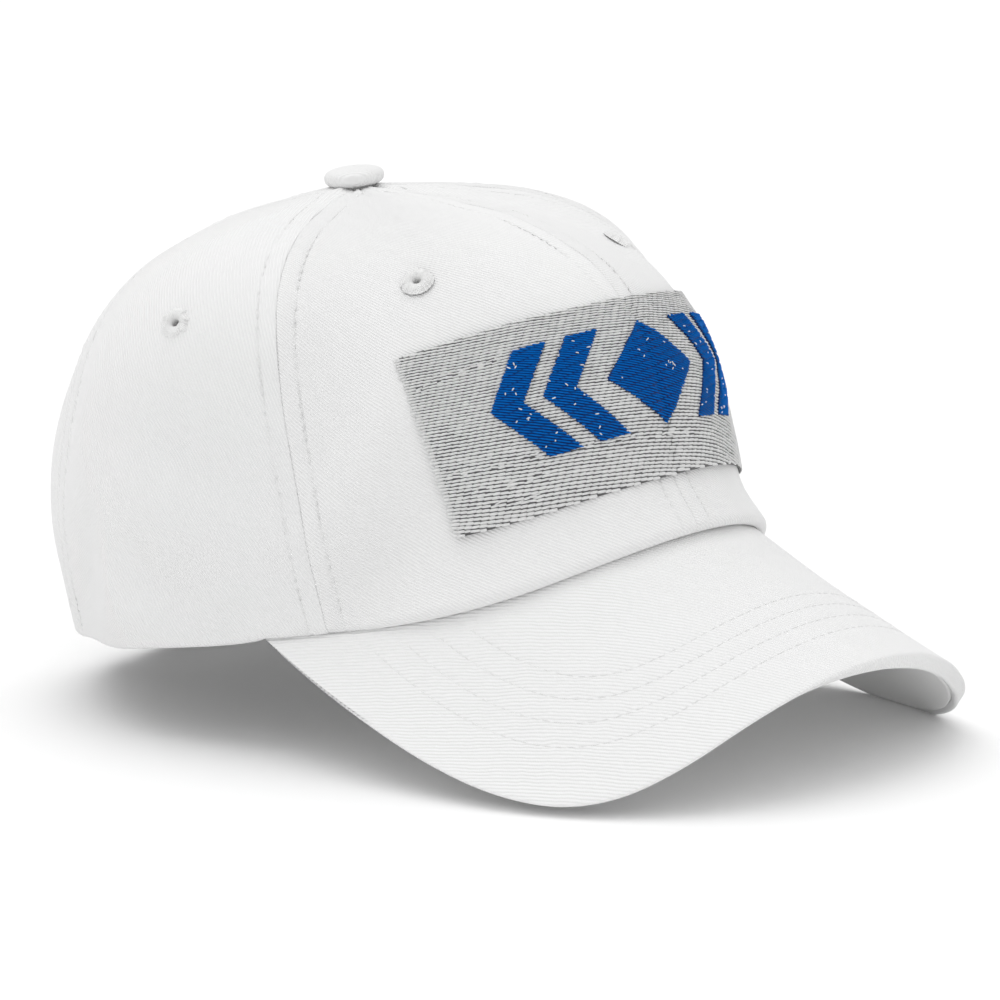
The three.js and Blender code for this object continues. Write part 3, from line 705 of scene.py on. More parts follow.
def panel_grid(panel):
    """Row heights, and distances across each row that are finer beside the seams."""
    first_row = BASE_ROWS[-1] + PANEL_SPACING
    upper = np.linspace(first_row, panel.length, int((panel.length - first_row) / PANEL_SPACING))
    heights = panel.heights_at(np.concatenate([BASE_ROWS, upper]))
    widths = panel.rows(heights)[1][:, -1]
    inner_count = int(widths.max() / PANEL_SPACING) - SEAM_COLUMNS
    scale = np.minimum(1, widths / 2 / (NEAR_SEAM[-1] + SEAM_MARGIN))
    left = NEAR_SEAM[None, :] * scale[:, None]
    right = widths[:, None] - left[:, ::-1]
    part = np.linspace(0, 1, inner_count + 2)[1:-1]
    inner = left[:, -1:] + (right[:, :1] - left[:, -1:]) * part
    return heights, np.concatenate([left, inner, right], axis=1)


def arch_measure(points):
    """Below 1 inside the rear arch's outline."""
    return np.hypot(points[..., 0] / ARCH_HALF_WIDTH, np.maximum(points[..., 2], 0) / ARCH_HEIGHT)


def onto_arch(points, normals, rim):
    """Moves the rim's points along the cloth onto the arch's outline."""
    measure = arch_measure(points)[..., None]
    target = points / np.maximum(measure, 1e-6)
    shift_x = (target - points)[..., 0]
    shift_z = (target - points)[..., 2]
    shift_y = -(normals[..., 0] * shift_x + normals[..., 2] * shift_z) / normals[..., 1]
    moved = points + np.stack([shift_x, shift_y, shift_z], -1)
    return np.where(rim[..., None], moved, points)


def arch_rim(inside):
    """The grid's points between the cells inside the rear arch and those outside it."""
    touched = np.zeros((inside.shape[0] + 1, inside.shape[1] + 1), bool)
    kept = touched.copy()
    for down in (0, 1):
        for along in (0, 1):
            block = (slice(down, down + inside.shape[0]), slice(along, along + inside.shape[1]))
            touched[block] |= inside
            kept[block] |= ~inside
    return touched & kept


def make_panel(place, hand):
    panel = Panel(place, hand)
    node = f"{place}_panel_{HAND_WORDS[hand]}"
    panels[place, hand] = panel
    heights, distances = panel_grid(panel)
    outer, normal, cloth = panel.skin(heights, distances)
    inner, _, _ = panel.skin(heights, distances, CLOTH)
    angle, level = EYELETS[place, hand]
    eyelet = crown_point(np.array([hand * angle]), np.array([level]))[0]
    middles = (outer[:-1, :-1] + outer[1:, 1:]) / 2
    keep = np.linalg.norm(middles - eyelet, axis=-1) > EYELET_CUT
    if place == "rear":
        inside = (arch_measure(middles) < 1) & (middles[..., 1] > 0)
        keep &= ~inside
        rim = arch_rim(inside)
        outer = onto_arch(outer, normal, rim)
        inner = onto_arch(inner, normal, rim)
    piece = closed_sheet(node + "_cloth", outer, inner, cloth, keep)
    finish_piece(piece, cotton[place], [node])
    rises = np.interp(heights, panel.fine_heights, panel.fine_rise)
    widths = panel.rows(heights)[1][:, -1]
    cut = float(((widths[1:] + widths[:-1]) / 2 * np.diff(rises)).sum())
    declare_cloth(widths.max(), rises[-1], cut)


for hand in (1, -1):
    for place in ("front", "side", "rear"):
        make_panel(place, hand)

# Stitches lie a little inside the smooth surface, and a run starts and stops clear of the edge and the top
STITCH_INSET = 0.06
RUN_START, RUN_STOP, BACK_RUN_START = 4.0, 6.0, 52.0
# The run round the rear arch: from and to in degrees of its ellipse, and steps of the search for its places
ARCH_RUN, ARCH_RUN_POINTS, ARCH_SEARCH = (14, 88), 120, 25
ANGLE_STEP, HEIGHT_STEP, LONGEST_TURN = 0.5, 0.01, 5
FAR_FROM_SEAMS = 40.0


def topstitch_path(panel, from_second, start, end):
    heights = panel.heights_at(np.linspace(start, end, 240))
    widths = panel.rows(heights)[1][:, -1]
    distance = np.minimum(TOPSTITCH, 0.46 * widths)
    distances = (widths - distance if from_second else distance)[:, None]
    points, normals, _ = panel.skin(heights, distances, STITCH_INSET)
    return points[:, 0], normals[:, 0]


def arch_run(panel):
    """Stitches a little outside the rear arch's edge."""
    turn = np.radians(np.linspace(*ARCH_RUN, ARCH_RUN_POINTS))
    goal_x = -panel.hand * (ARCH_HALF_WIDTH + ARCH_STITCH) * np.cos(turn)
    goal_z = (ARCH_HEIGHT + ARCH_STITCH) * np.sin(turn)
    angle = panel.hand * (180 - 30 * np.cos(turn))
    height = 0.25 + 0 * turn
    for _ in range(ARCH_SEARCH):
        spot = crown_point(angle, height)
        wider = crown_point(angle + ANGLE_STEP, height)
        higher = crown_point(angle, height + HEIGHT_STEP)
        turn_by = (goal_x - spot[:, 0]) / (wider - spot)[:, 0] * ANGLE_STEP
        raise_by = (goal_z - spot[:, 2]) / (higher - spot)[:, 2] * HEIGHT_STEP
        angle = angle + np.clip(turn_by, -LONGEST_TURN, LONGEST_TURN)
        height = np.clip(height + raise_by, 0.01, 0.9)
    normal = crown_normal(angle, height)
    spot = crown_point(angle, height)
    rise = np.interp(height, panel.fine_heights, panel.fine_rise)
    far = np.full(len(rise), FAR_FROM_SEAMS)
    depth = panel.relief(angle, spot[:, 2], rise, far, far)
    spot = spot - normal * (depth + STITCH_INSET)[:, None]
    return run_of_stitches(spot, normal, SEAM_PITCH, TOPSTITCH_SHARE)


runs = []
for (place, hand), panel in panels.items():
    for from_second in (False, True):
        start = BACK_RUN_START if place == "rear" and from_second else RUN_START
        path, normals = topstitch_path(panel, from_second, start, panel.length - RUN_STOP)
        runs.append(run_of_stitches(path, normals, SEAM_PITCH, TOPSTITCH_SHARE))
for hand in (1, -1):
    runs.append(arch_run(panels["rear", hand]))
seam_stitches = stitches("seam_topstitches", *join_runs(runs), THREAD)
finish_piece(seam_stitches, white_thread, [])

# Embroidered eyelets: distance from the middle, height over the cloth and share of the strands' ridges
EYELET_PROFILE = np.array([
    (1.3, -1.9, 0.0), (1.1, -1.2, 0.2), (1.05, -0.5, 0.4), (1.12, 0.05, 0.6), (1.4, 0.50, 0.8),
    (1.9, 0.82, 1.0), (2.4, 0.97, 1.0), (2.9, 0.97, 1.0), (3.3, 0.82, 1.0), (3.65, 0.50, 1.0),
    (3.9, 0.20, 1.0), (4.15, 0.03, 0.9), (4.4, -0.30, 0.4),
])
EYELET_TURNS, EYELET_STRANDS = 264, 44
RAGGED, RAGGED_START, RAGGED_FADE = 0.22, 2.6, 1.2
RIDGE, STRAND_UNEVEN = 0.17, 0.05


def make_eyelet(place, hand):
    node = f"eyelet_{place}_{HAND_WORDS[hand]}"
    angle, level = EYELETS[place, hand]
    spot = np.array([hand * angle]), np.array([level])
    normal = crown_normal(*spot)[0]
    centre = crown_point(*spot)[0] - normal * float(dent_depth(spot[0], crown_point(*spot)[..., 2])[0])
    across = unit(np.cross(np.array([0, 0, 1.0]), normal))
    up = np.cross(normal, across)
    phi = np.linspace(0, 2 * np.pi, EYELET_TURNS, endpoint=False)
    local = np.random.default_rng(40 + int(angle) + hand)
    tone = np.repeat(local.normal(0, 1, EYELET_STRANDS), EYELET_TURNS // EYELET_STRANDS)
    ridge = np.abs(np.cos(EYELET_STRANDS * phi / 2)) - 0.6
    out, high, share = (EYELET_PROFILE[:, k][:, None] for k in range(3))
    ragged = RAGGED * smooth_step((out - RAGGED_START) / RAGGED_FADE) * (tone + 0.6 * ridge)[None, :]
    out = out + share * ragged
    high = high + share * (RIDGE * ridge + STRAND_UNEVEN * tone)[None, :]
    outward = np.cos(phi)[:, None] * across + np.sin(phi)[:, None] * up
    points = centre + out[..., None] * outward + high[..., None] * normal
    faces = ring_faces(np.arange(out.size).reshape(out.shape))
    piece = new_mesh(node + "_threads", points, faces, spread(out, phi[None, :], hand * angle))
    finish_piece(piece, white_thread, [node])


for place, hand in EYELETS:
    make_eyelet(place, hand)


# Cloth-covered button: its size, how far it sinks in, and how it leans and lies off the middle
BUTTON_RADIUS, BUTTON_HEIGHT, BUTTON_SINK, BUTTON_ROUNDNESS = 8.1, 5.9, 0.55, 0.78
BUTTON_LEAN, BUTTON_SLOPE, BUTTON_SHIFT = 2.5, 0.045, (-0.45, 0.45)
PLEAT_LEVEL, PLEAT_SPREAD, PLEAT_OUT, PLEAT_HEIGHT = 0.30, 0.16, 0.016, 0.10


def make_button():
    turn = np.radians(np.linspace(-89.5, 89.5, 60))[:, None]
    phi = np.linspace(0, 2 * np.pi, 168, endpoint=False)[None, :]
    out = np.cos(turn) ** BUTTON_ROUNDNESS
    up = 0.5 + 0.5 * np.sign(turn) * np.abs(np.sin(turn)) ** BUTTON_ROUNDNESS
    skirt = np.exp(-((up - PLEAT_LEVEL) / PLEAT_SPREAD) ** 2) * (out > 0.7)
    pleat = waves(11 * phi + 0 * out, 5 * up, 5.5, 51, 9)
    wobble = 0.04 * waves(7 * np.cos(phi) * out, 7 * np.sin(phi) * out, 13, 52)
    reach = BUTTON_RADIUS * out * (1 + PLEAT_OUT * skirt * pleat)
    rise = BUTTON_HEIGHT * up + PLEAT_HEIGHT * skirt * pleat + wobble
    x = reach * np.cos(phi)
    flat_y = reach * np.sin(phi)
    rise = rise + BUTTON_SLOPE * (x - flat_y)
    c, s = math.cos(math.radians(BUTTON_LEAN)), math.sin(math.radians(BUTTON_LEAN))
    y, z = flat_y * c + rise * s, rise * c - flat_y * s
    shift_x, shift_y = BUTTON_SHIFT
    points = np.stack([x + shift_x, y + APEX_SET_BACK + shift_y, z + CROWN_HEIGHT - BUTTON_SINK], -1)
    faces = ring_faces(np.arange(x.size).reshape(x.shape))[:, [0, 3, 2, 1]]
    piece = new_mesh("top_button_cloth", points, faces, spread(x, flat_y, 0))
    finish_piece(piece, cotton["trim"], ["top_button"])


make_button()

# Peak
def peak_edge(s):
    """Plan outline of the peak from the wearer's right tip to the left."""
    side = np.where(s < 0.5, -1.0, 1.0)
    t = np.where(s < 0.5, 2 * s, 2 - 2 * s)
    tip_plan = ring_point(-side * TIP_ANGLE)
    tip_x, tip_f = to_peak_frame(tip_plan[..., 0], tip_plan[..., 1])
    tip_x = np.abs(tip_x)
    w0, w1, w2, w3 = (1 - t) ** 3, 3 * t * (1 - t) ** 2, 3 * t * t * (1 - t), t ** 3
    x = w0 * tip_x + w1 * (tip_x + TIP_FLARE) + w2 * CORNER_WIDTH
    f = w0 * tip_f + w1 * (tip_f + TIP_REACH) + (w2 + w3) * PEAK_LENGTH
    return from_peak_frame(side * x, f)


fine_s = np.linspace(0, 1, 1201)
outline = peak_edge(fine_s)
outline_arc = lengths_along(outline)


def outline_at(arc):
    """Outline points and outward plan normals at distances along it."""
    s = np.interp(arc, outline_arc, fine_s)
    points = peak_edge(s)
    step = 2e-4
    along = unit(peak_edge(np.minimum(s + step, 1)) - peak_edge(np.maximum(s - step, 0)))
    return s, points, np.stack([along[:, 1], -along[:, 0]], -1)


def peak_cloth(x, f):
    """The pattern position of a place on the peak: cloth from the middle, and how far forward."""
    total = 0
    steps = np.linspace(0.04, 0.96, 12)
    for part in steps:
        near = from_peak_frame(x * part - 0.5, f)
        far = from_peak_frame(x * part + 0.5, f)
        slope = peak_height(far[..., 0], far[..., 1]) - peak_height(near[..., 0], near[..., 1])
        total = total + np.sqrt(1 + slope ** 2) / len(steps)
    return np.stack([x * total, f, 0 * x], -1)


# The peak's soft waves, and the dents and fullness of its sewn rows
PEAK_WAVES, PEAK_FINE_WAVES = (0.16, 60, 31), (0.05, 16, 32)
ROW_DENT, ROW_DENT_REACH, ROW_PUCKER, ROW_PUCKER_REACH, ROW_PUCKER_SIZE = 0.10, 0.6, 0.05, 2.2, 4.5
BATCH = 4000


def distance_to_edge(plan):
    """Distance in plan to the peak's outline, found for a batch of places at a time."""
    flat = plan.reshape(-1, 2)
    marks = outline[None, ::3, :]
    parts = [flat[start:start + BATCH] for start in range(0, len(flat), BATCH)]
    found = [np.sqrt(((part[:, None, :] - marks) ** 2).sum(-1)).min(1) for part in parts]
    return np.concatenate(found).reshape(plan.shape[:-1])


def peak_relief(plan, edge_distance):
    """Depth of the peak's cloth inside the smooth surface: sewn rows, puckers beside them and soft waves."""
    x, f = to_peak_frame(plan[..., 0], plan[..., 1])
    depth = 0
    for deep, size, seed in (PEAK_WAVES, PEAK_FINE_WAVES):
        depth = depth + deep * waves(x, f, size, seed)
    for row in PEAK_ROWS:
        away = edge_distance - row
        depth = depth + ROW_DENT * np.exp(-(away / ROW_DENT_REACH) ** 2)
        pucker = ROW_PUCKER * np.exp(-(away / ROW_PUCKER_REACH) ** 2)
        depth = depth + pucker * waves(x, f, ROW_PUCKER_SIZE, 33)
    return depth


def peak_surface(plan, depth=0.0, relief=True):
    step = 0.4
    x, y = plan[..., 0], plan[..., 1]
    z = peak_height(x, y)
    slope_x = (peak_height(x + step, y) - peak_height(x - step, y)) / (2 * step)
    slope_y = (peak_height(x, y + step) - peak_height(x, y - step)) / (2 * step)
    normal = unit(np.stack([-slope_x, -slope_y, np.ones_like(slope_x)], -1))
    inward = depth
    if relief:
        inward = inward + peak_relief(plan, distance_to_edge(plan))
    return np.stack([x, y, z], -1) - normal * (inward + 0 * z)[..., None], normal


def settled(points):
    """The peak's low corners give a little, and are flat where they rest."""
    z = points[..., 2]
    z = z - SETTLE * np.exp(-np.maximum(z, 0) / SETTLE_HEIGHT)
    points = points.copy()
    points[..., 2] = np.maximum(z, 0)
    return points


# The edge of the peak: its rounding above and below, and how its side leans in on the wearer's right
EDGE_ROUND, EDGE_FOLD = 1.2, 0.9
EDGE_LEAN, EDGE_LEAN_START, EDGE_LEAN_END = 0.95, 0.40, 0.56
EDGE_UNEVEN, EDGE_UNEVEN_SIZE, TIP_SPAN = 0.08, 42, 6
HEM_TURNED_IN = ((-1.5, 0.05), (-2.0, 0.45))
# Distances of the grid's rows from the edge; they are closer beside the edge and the sewn rows
PARALLEL_ROWS = np.array([
    1.6, 2.6, 4.2, 6.2, 8.2, 10.2, 11.4, 12.0, 12.3, 12.6, 13.2, 14.8, 16.2, 16.8, 17.1, 17.4, 18.0,
    19.5, 21.0, 21.6, 21.9, 22.2, 22.8, 24.3, 25.6, 26.2, 26.5, 26.8, 27.4, 29.0, 31.0,
])
PEAK_COLUMNS, INNER_ROWS, UNDER_ROWS, FULL_SPAN, SEAT = 280, 34, 30, 50, -1.6
TOP_DEPTH, TOP_WALL, TOP_LOWEST = 1.5, 0.6, 1.2
UNDER_INSET, UNDER_LEAN, UNDER_SWELL, UNDER_LIFT, UNDER_HIGH = 1.9, 1.25, 0.28, 0.25, 2.3
PEAK_THREAD, PEAK_RUN_POINTS, RUN_CLEARANCE = 0.85, 900, 1.2


def edge_profile():
    """Out from the edge and down, over the rounded upper edge, down the side and under the fold."""
    profile = []
    for turn in np.linspace(12, 90, 7):
        a = math.radians(turn)
        profile.append((-EDGE_ROUND * (1 - math.sin(a)), EDGE_ROUND * (1 - math.cos(a))))
    for drop in np.linspace(EDGE_ROUND, PEAK_THICKNESS - EDGE_FOLD, 5)[1:-1]:
        profile.append((0.0, drop))
    for turn in np.linspace(0, 90, 6):
        a = math.radians(turn)
        profile.append((-EDGE_FOLD * (1 - math.cos(a)), PEAK_THICKNESS - EDGE_FOLD * (1 - math.sin(a))))
    for reach, lift in HEM_TURNED_IN:
        profile.append((reach, PEAK_THICKNESS - lift))
    return profile


def make_peak():
    arcs = np.linspace(0, outline_arc[-1], PEAK_COLUMNS)
    s, edge, out = outline_at(arcs)
    ring = ring_point(TIP_ANGLE * (1 - 2 * s), SEAT)
    span = np.linalg.norm(edge - ring, axis=-1)
    scale = np.minimum(1, span / FULL_SPAN)
    near_tip = np.minimum(1, span / TIP_SPAN)
    last = edge - out * (PARALLEL_ROWS[-1] * scale)[:, None]
    rows = [ring + (last - ring) * part for part in np.linspace(0, 1, INNER_ROWS)[:-1]]
    rows += [edge - out * (distance * scale)[:, None] for distance in PARALLEL_ROWS[::-1]]
    plan = np.stack(rows)
    skin, _ = peak_surface(plan)
    edge_point, edge_normal = (found[0] for found in peak_surface(edge[None]))
    tangent = unit(np.gradient(edge_point, axis=0))
    outward = unit(np.cross(tangent, edge_normal))
    outward *= np.sign((outward[:, :2] * out).sum(-1))[:, None]
    profile = edge_profile()
    uneven = waves(arcs, 0 * arcs, EDGE_UNEVEN_SIZE, 34) * EDGE_UNEVEN
    lean = EDGE_LEAN * (1 - smooth_step((s - EDGE_LEAN_START) / (EDGE_LEAN_END - EDGE_LEAN_START)))
    wrap, lining = [], []
    for reach, drop in profile:
        bulge = math.sin(math.pi * min(drop / PEAK_THICKNESS, 1)) * uneven - lean * drop
        wrap.append(edge_point + outward * ((reach + bulge) * near_tip)[:, None] - edge_normal * drop)
        inset = min(reach, -TOP_LOWEST) - TOP_WALL - lean * drop
        low = min(max(drop, TOP_DEPTH), PEAK_THICKNESS - TOP_LOWEST)
        lining.append(edge_point + outward * (inset * near_tip)[:, None] - edge_normal * low)
    outer = settled(np.concatenate([skin, np.stack(wrap)]))
    inner = settled(np.concatenate([peak_surface(plan, TOP_DEPTH)[0], np.stack(lining)]))
    cloth = peak_cloth(*to_peak_frame(outer[..., 0], outer[..., 1]))
    cloth[len(plan):, :, 1] += np.array([drop for _, drop in profile])[:, None]
    piece = closed_sheet("peak_top_cloth", outer, inner, cloth)
    finish_piece(piece, cotton["peak"], ["peak_top"])
    declare_cloth(np.ptp(cloth[..., 0]), np.ptp(cloth[..., 1]), grid_area(outer))
    border = edge - out * ((UNDER_INSET + lean * PEAK_THICKNESS * UNDER_LEAN) * near_tip)[:, None]
    parts = 1 - (1 - np.linspace(0, 1, UNDER_ROWS)) ** 1.5
    plan = np.stack([ring + (border - ring) * part for part in parts])
    swell = UNDER_SWELL * np.exp(-((distance_to_edge(plan) - UNDER_INSET - 0.8) / 1.2) ** 2)
    low, _ = peak_surface(plan, PEAK_THICKNESS - UNDER_LIFT + swell, relief=False)
    high, _ = peak_surface(plan, UNDER_HIGH, relief=False)
    cloth = peak_cloth(*to_peak_frame(plan[..., 0], plan[..., 1]))
    piece = closed_sheet("peak_under_cloth", settled(low), settled(high), cloth)
    finish_piece(piece, cotton["under"], ["peak_under"])
    declare_cloth(np.ptp(cloth[..., 0]), np.ptp(cloth[..., 1]), grid_area(low))


def make_peak_stitches():
    runs = []
    _, edge, out = outline_at(np.linspace(0, outline_arc[-1], PEAK_RUN_POINTS))
    for row in PEAK_ROWS:
        plan = edge - out * row
        angle = np.degrees(np.arctan2(-plan[:, 0], -plan[:, 1]))
        clear = np.hypot(plan[:, 0], plan[:, 1]) - reach_at(angle) - LIP_FLARE * lip_fade(angle)
        points, normals = peak_surface(plan[(clear > RUN_CLEARANCE) & (np.abs(angle) < TIP_ANGLE)])
        runs.append(run_of_stitches(settled(points), normals, PEAK_PITCH))
    piece = stitches("peak_stitches", *join_runs(runs), THREAD * PEAK_THREAD)
    finish_piece(piece, white_thread, [])


make_peak()
make_peak_stitches()

# The patch: its soft waves, the seam under it with the fullness beside that, and its layers over the crown
PATCH_WAVE, PATCH_WAVE_SIZE, PATCH_RIPPLE, PATCH_RIPPLE_SIZE = 0.28, 38, 0.10, 9
UNDER_SEAM, UNDER_SEAM_REACH, BESIDE_SEAM, BESIDE_SEAM_AT, BESIDE_SEAM_REACH = 0.35, 1.0, 0.12, 3, 2.2
GROUND_LOW, GROUND_HIGH, GROUND_INSET, GROUND_FOOT, GROUND_CUT = 0.32, 0.75, 1.5, 0.3, 0.7
GROUND_GRID = (64, 150)


def patch_spot(across, up):
    """Angle and height on the crown of a place on the patch."""
    bottom = PATCH_BOTTOM + PATCH_BOTTOM_CURVE * across ** 2
    top = PATCH_TOP + PATCH_TOP_CURVE * across ** 2
    height = bottom + (top - bottom) * up
    return -across * (PATCH_SIDE + PATCH_LEAN * height), height


def patch_surface(across_mm, up_mm, lift):
    """Points and normals, at millimetres across from the front seam and up from the patch's foot."""
    angle, height = patch_spot(across_mm / PATCH_HALF_WIDTH, up_mm / PATCH_HEIGHT)
    base = crown_point(angle, height)
    normal = crown_normal(angle, height)
    z = base[..., 2]
    depth = dent_depth(angle, z) + PATCH_WAVE * waves(angle * MM_PER_DEGREE, z, PATCH_WAVE_SIZE, 21)
    beside = np.exp(-((np.abs(across_mm) - BESIDE_SEAM_AT) / BESIDE_SEAM_REACH) ** 2)
    depth = depth + UNDER_SEAM * np.exp(-(across_mm / UNDER_SEAM_REACH) ** 2) - BESIDE_SEAM * beside
    depth = depth + PATCH_RIPPLE * waves(across_mm, up_mm, PATCH_RIPPLE_SIZE, 61)
    return base + normal * (lift - depth)[..., None], normal


def make_patch_ground():
    rows, columns = GROUND_GRID
    half = PATCH_HALF_WIDTH - GROUND_INSET
    top = GROUND_FOOT + PATCH_HEIGHT - GROUND_CUT
    across, up = np.meshgrid(np.linspace(-half, half, columns), np.linspace(GROUND_FOOT, top, rows))
    outer, _ = patch_surface(across, up, GROUND_HIGH)
    inner, _ = patch_surface(across, up, GROUND_LOW)
    # The ground's near-black colour is painted shade that shows between the thread rows
    piece = closed_sheet("patch_shaded_ground", outer, inner, spread(across, up, 0))
    finish_piece(piece, patch_shaded_ground, ["front_patch"])
    width = path_length(outer[len(outer) // 2])
    height = path_length(outer[:, outer.shape[1] // 2])
    declare_cloth(width, height, grid_area(outer))


def surface_stitches(name, starts, ends, lift, radius, flatten=1.0, sink=0.8, taper=0.5):
    """Stitches between pairs of places on the patch."""
    starts, ends = np.array(starts), np.array(ends)
    a, _ = patch_surface(starts[:, 0], starts[:, 1], lift)
    b, _ = patch_surface(ends[:, 0], ends[:, 1], lift)
    middle = (starts + ends) / 2
    centre, normal = patch_surface(middle[:, 0], middle[:, 1], lift)
    lengths = np.linalg.norm(b - a, axis=-1)
    return stitches(name, centre, unit(b - a), normal, lengths, radius, sink, 4, flatten, taper)


# The patch's rows of stitches
PATCH_ROW_PITCH, PATCH_STITCH, PATCH_ROW_TILT = 0.80, 1.75, -0.15
PATCH_THREAD, PATCH_THREAD_LIFT, PATCH_MARGIN, SHORTEST_STITCH = 0.322, 0.95, 0.35, 0.6
STITCH_LAP, STITCH_STEP = 0.08, 0.07
# Sewing lines that show through the thread rows: start and end across and up, in millimetres
PATCH_LINES = (
    (-54, 36, -34, 37.5),
    (-53, 13.5, -28, 12),
    (-52, 8.5, -30, 7.5),
    (-47, 5, -36, 4),
    (-28, 12, 8, 8),
)
PATCH_LINE_PITCH, LINE_REACH, LINE_THINNING = 4.4, 0.9, 0.8
SEWING_LIFT, SEWING_THREAD, SEWING_APART = 0.98, 0.20, 0.35


def line_distance(across, up, line):
    """Distance from a sewing line, and the place along it."""
    x0, y0, x1, y1 = line
    length = math.hypot(x1 - x0, y1 - y0)
    dx, dy = (x1 - x0) / length, (y1 - y0) / length
    along = (across - x0) * dx + (up - y0) * dy
    aside = np.abs((across - x0) * dy - (up - y0) * dx)
    outside = np.maximum(np.maximum(-along, along - length), 0)
    return np.hypot(aside, outside), along


def patch_row(number, base):
    """Starts, ends and relative widths of the stitches of one row."""
    shift = (number % 4) / 4 * PATCH_STITCH
    count = int(2 * PATCH_HALF_WIDTH / PATCH_STITCH) + 2
    knots = -PATCH_HALF_WIDTH + (np.arange(count) - 1) * PATCH_STITCH + shift
    knots = knots + rng.normal(0, 0.14, count)
    knots = np.clip(knots, -PATCH_HALF_WIDTH + rng.normal(0, 0.2), PATCH_HALF_WIDTH + rng.normal(0, 0.2))
    levels = base + PATCH_ROW_TILT * knots
    levels = levels + 0.08 * waves(knots, levels, 14, 62) + rng.normal(0, 0.03, count)
    a, b = knots[:-1], knots[1:]
    low, high = levels[:-1] - STITCH_STEP, levels[1:] + STITCH_STEP
    middle = (low + high) / 2
    good = (b - a > SHORTEST_STITCH) & (middle > PATCH_MARGIN) & (middle < PATCH_HEIGHT - PATCH_MARGIN)
    width = PATCH_THREAD * (1 + rng.normal(0, 0.05)) * (1 + rng.normal(0, 0.08, len(a)))
    return spread(a - STITCH_LAP, low)[good], spread(b + STITCH_LAP, high)[good], width[good]


def make_patch_rows():
    reach = -PATCH_ROW_TILT * PATCH_HALF_WIDTH
    rows = np.arange(-reach, PATCH_HEIGHT + reach, PATCH_ROW_PITCH)
    found = [patch_row(number, base) for number, base in enumerate(rows)]
    starts, ends, widths = (np.concatenate(part) for part in zip(*found))
    across, up = ((starts + ends) / 2).T
    above, _ = patch_surface(across, up + 0.5, 0)
    below, _ = patch_surface(across, up - 0.5, 0)
    widths = widths * np.linalg.norm(above - below, axis=-1)
    for line in PATCH_LINES:
        distance, along = line_distance(across, up, line)
        dip = (distance < LINE_REACH) & ((along / PATCH_LINE_PITCH) % 1 < 0.5)
        widths = np.where(dip, widths * LINE_THINNING, widths)
        starts[dip, 1] += rng.normal(0, 0.15, dip.sum())
    piece = surface_stitches("patch_rows", starts, ends, PATCH_THREAD_LIFT, widths, 0.7, 0.3, 0.75)
    finish_piece(piece, patch_thread, [])


def make_patch_sewing():
    starts, ends = [], []
    for x0, y0, x1, y1 in PATCH_LINES:
        length = math.hypot(x1 - x0, y1 - y0)
        step = np.array([x1 - x0, y1 - y0]) / length
        aside = np.array([-step[1], step[0]])
        for place in np.arange(0.7, length - 1, PATCH_LINE_PITCH) + PATCH_LINE_PITCH / 2:
            for strand in (-SEWING_APART, SEWING_APART):
                along = step * (place + rng.normal(0, 0.2))
                middle = np.array([x0, y0]) + along + aside * (strand + rng.normal(0, 0.08))
                half = step * rng.uniform(0.7, 1.1) + aside * rng.normal(0, 0.15)
                starts.append(middle - half)
                ends.append(middle + half)
    piece = surface_stitches("patch_sewing", starts, ends, SEWING_LIFT, SEWING_THREAD, 0.7, 1.6)
    finish_piece(piece, patch_thread, [])


make_patch_ground()
make_patch_rows()
make_patch_sewing()

# Generic motifs on the patch: a lozenge between two pairs of chevrons
MOTIF_MIDDLE, MOTIF_HALF_HEIGHT = 24.5, 13.5
LOZENGE_HALF_WIDTH = 12.5
CHEVRON_WIDTH, CHEVRON_DEPTH, CHEVRON_MARGIN = 7.5, 9.5, 4
CHEVRON_STARTS = {"inner": 14.5, "outer": 26.5}
# Their stitches: lean, pitch between lines, length, and the step of the search for a line's ends
MOTIF_LEAN, MOTIF_PITCH, MOTIF_STITCH, MOTIF_OFFSET, MOTIF_STEP = -24, 0.62, 3.6, 0.9, 0.06
MOTIF_END, MOTIF_SHORTEST, MOTIF_LIFT, MOTIF_THREAD = 0.8, 0.35, 1.62, 0.25
# The cloth under them, a blue darkened with painted shade, its grid, and the flecks of pale thread on them
BASE_LOW, BASE_HIGH, BASE_GRID = 0.9, 1.42, 0.5
FLECK_TRIES, FLECK_COUNT, FLECK_LIFT, FLECK_THREAD = 60, 14, 1.86, 0.17


def in_lozenge(x, y):
    part = np.abs(y - MOTIF_MIDDLE) / MOTIF_HALF_HEIGHT
    return (part < 1) & (np.abs(x) < LOZENGE_HALF_WIDTH * (1 - part))


def in_chevron(side, start):
    def inside(x, y):
        part = np.abs(y - MOTIF_MIDDLE) / MOTIF_HALF_HEIGHT
        middle = side * (start + CHEVRON_DEPTH * (1 - part))
        return (part < 1) & (np.abs(x - middle) < CHEVRON_WIDTH / 2)
    return inside


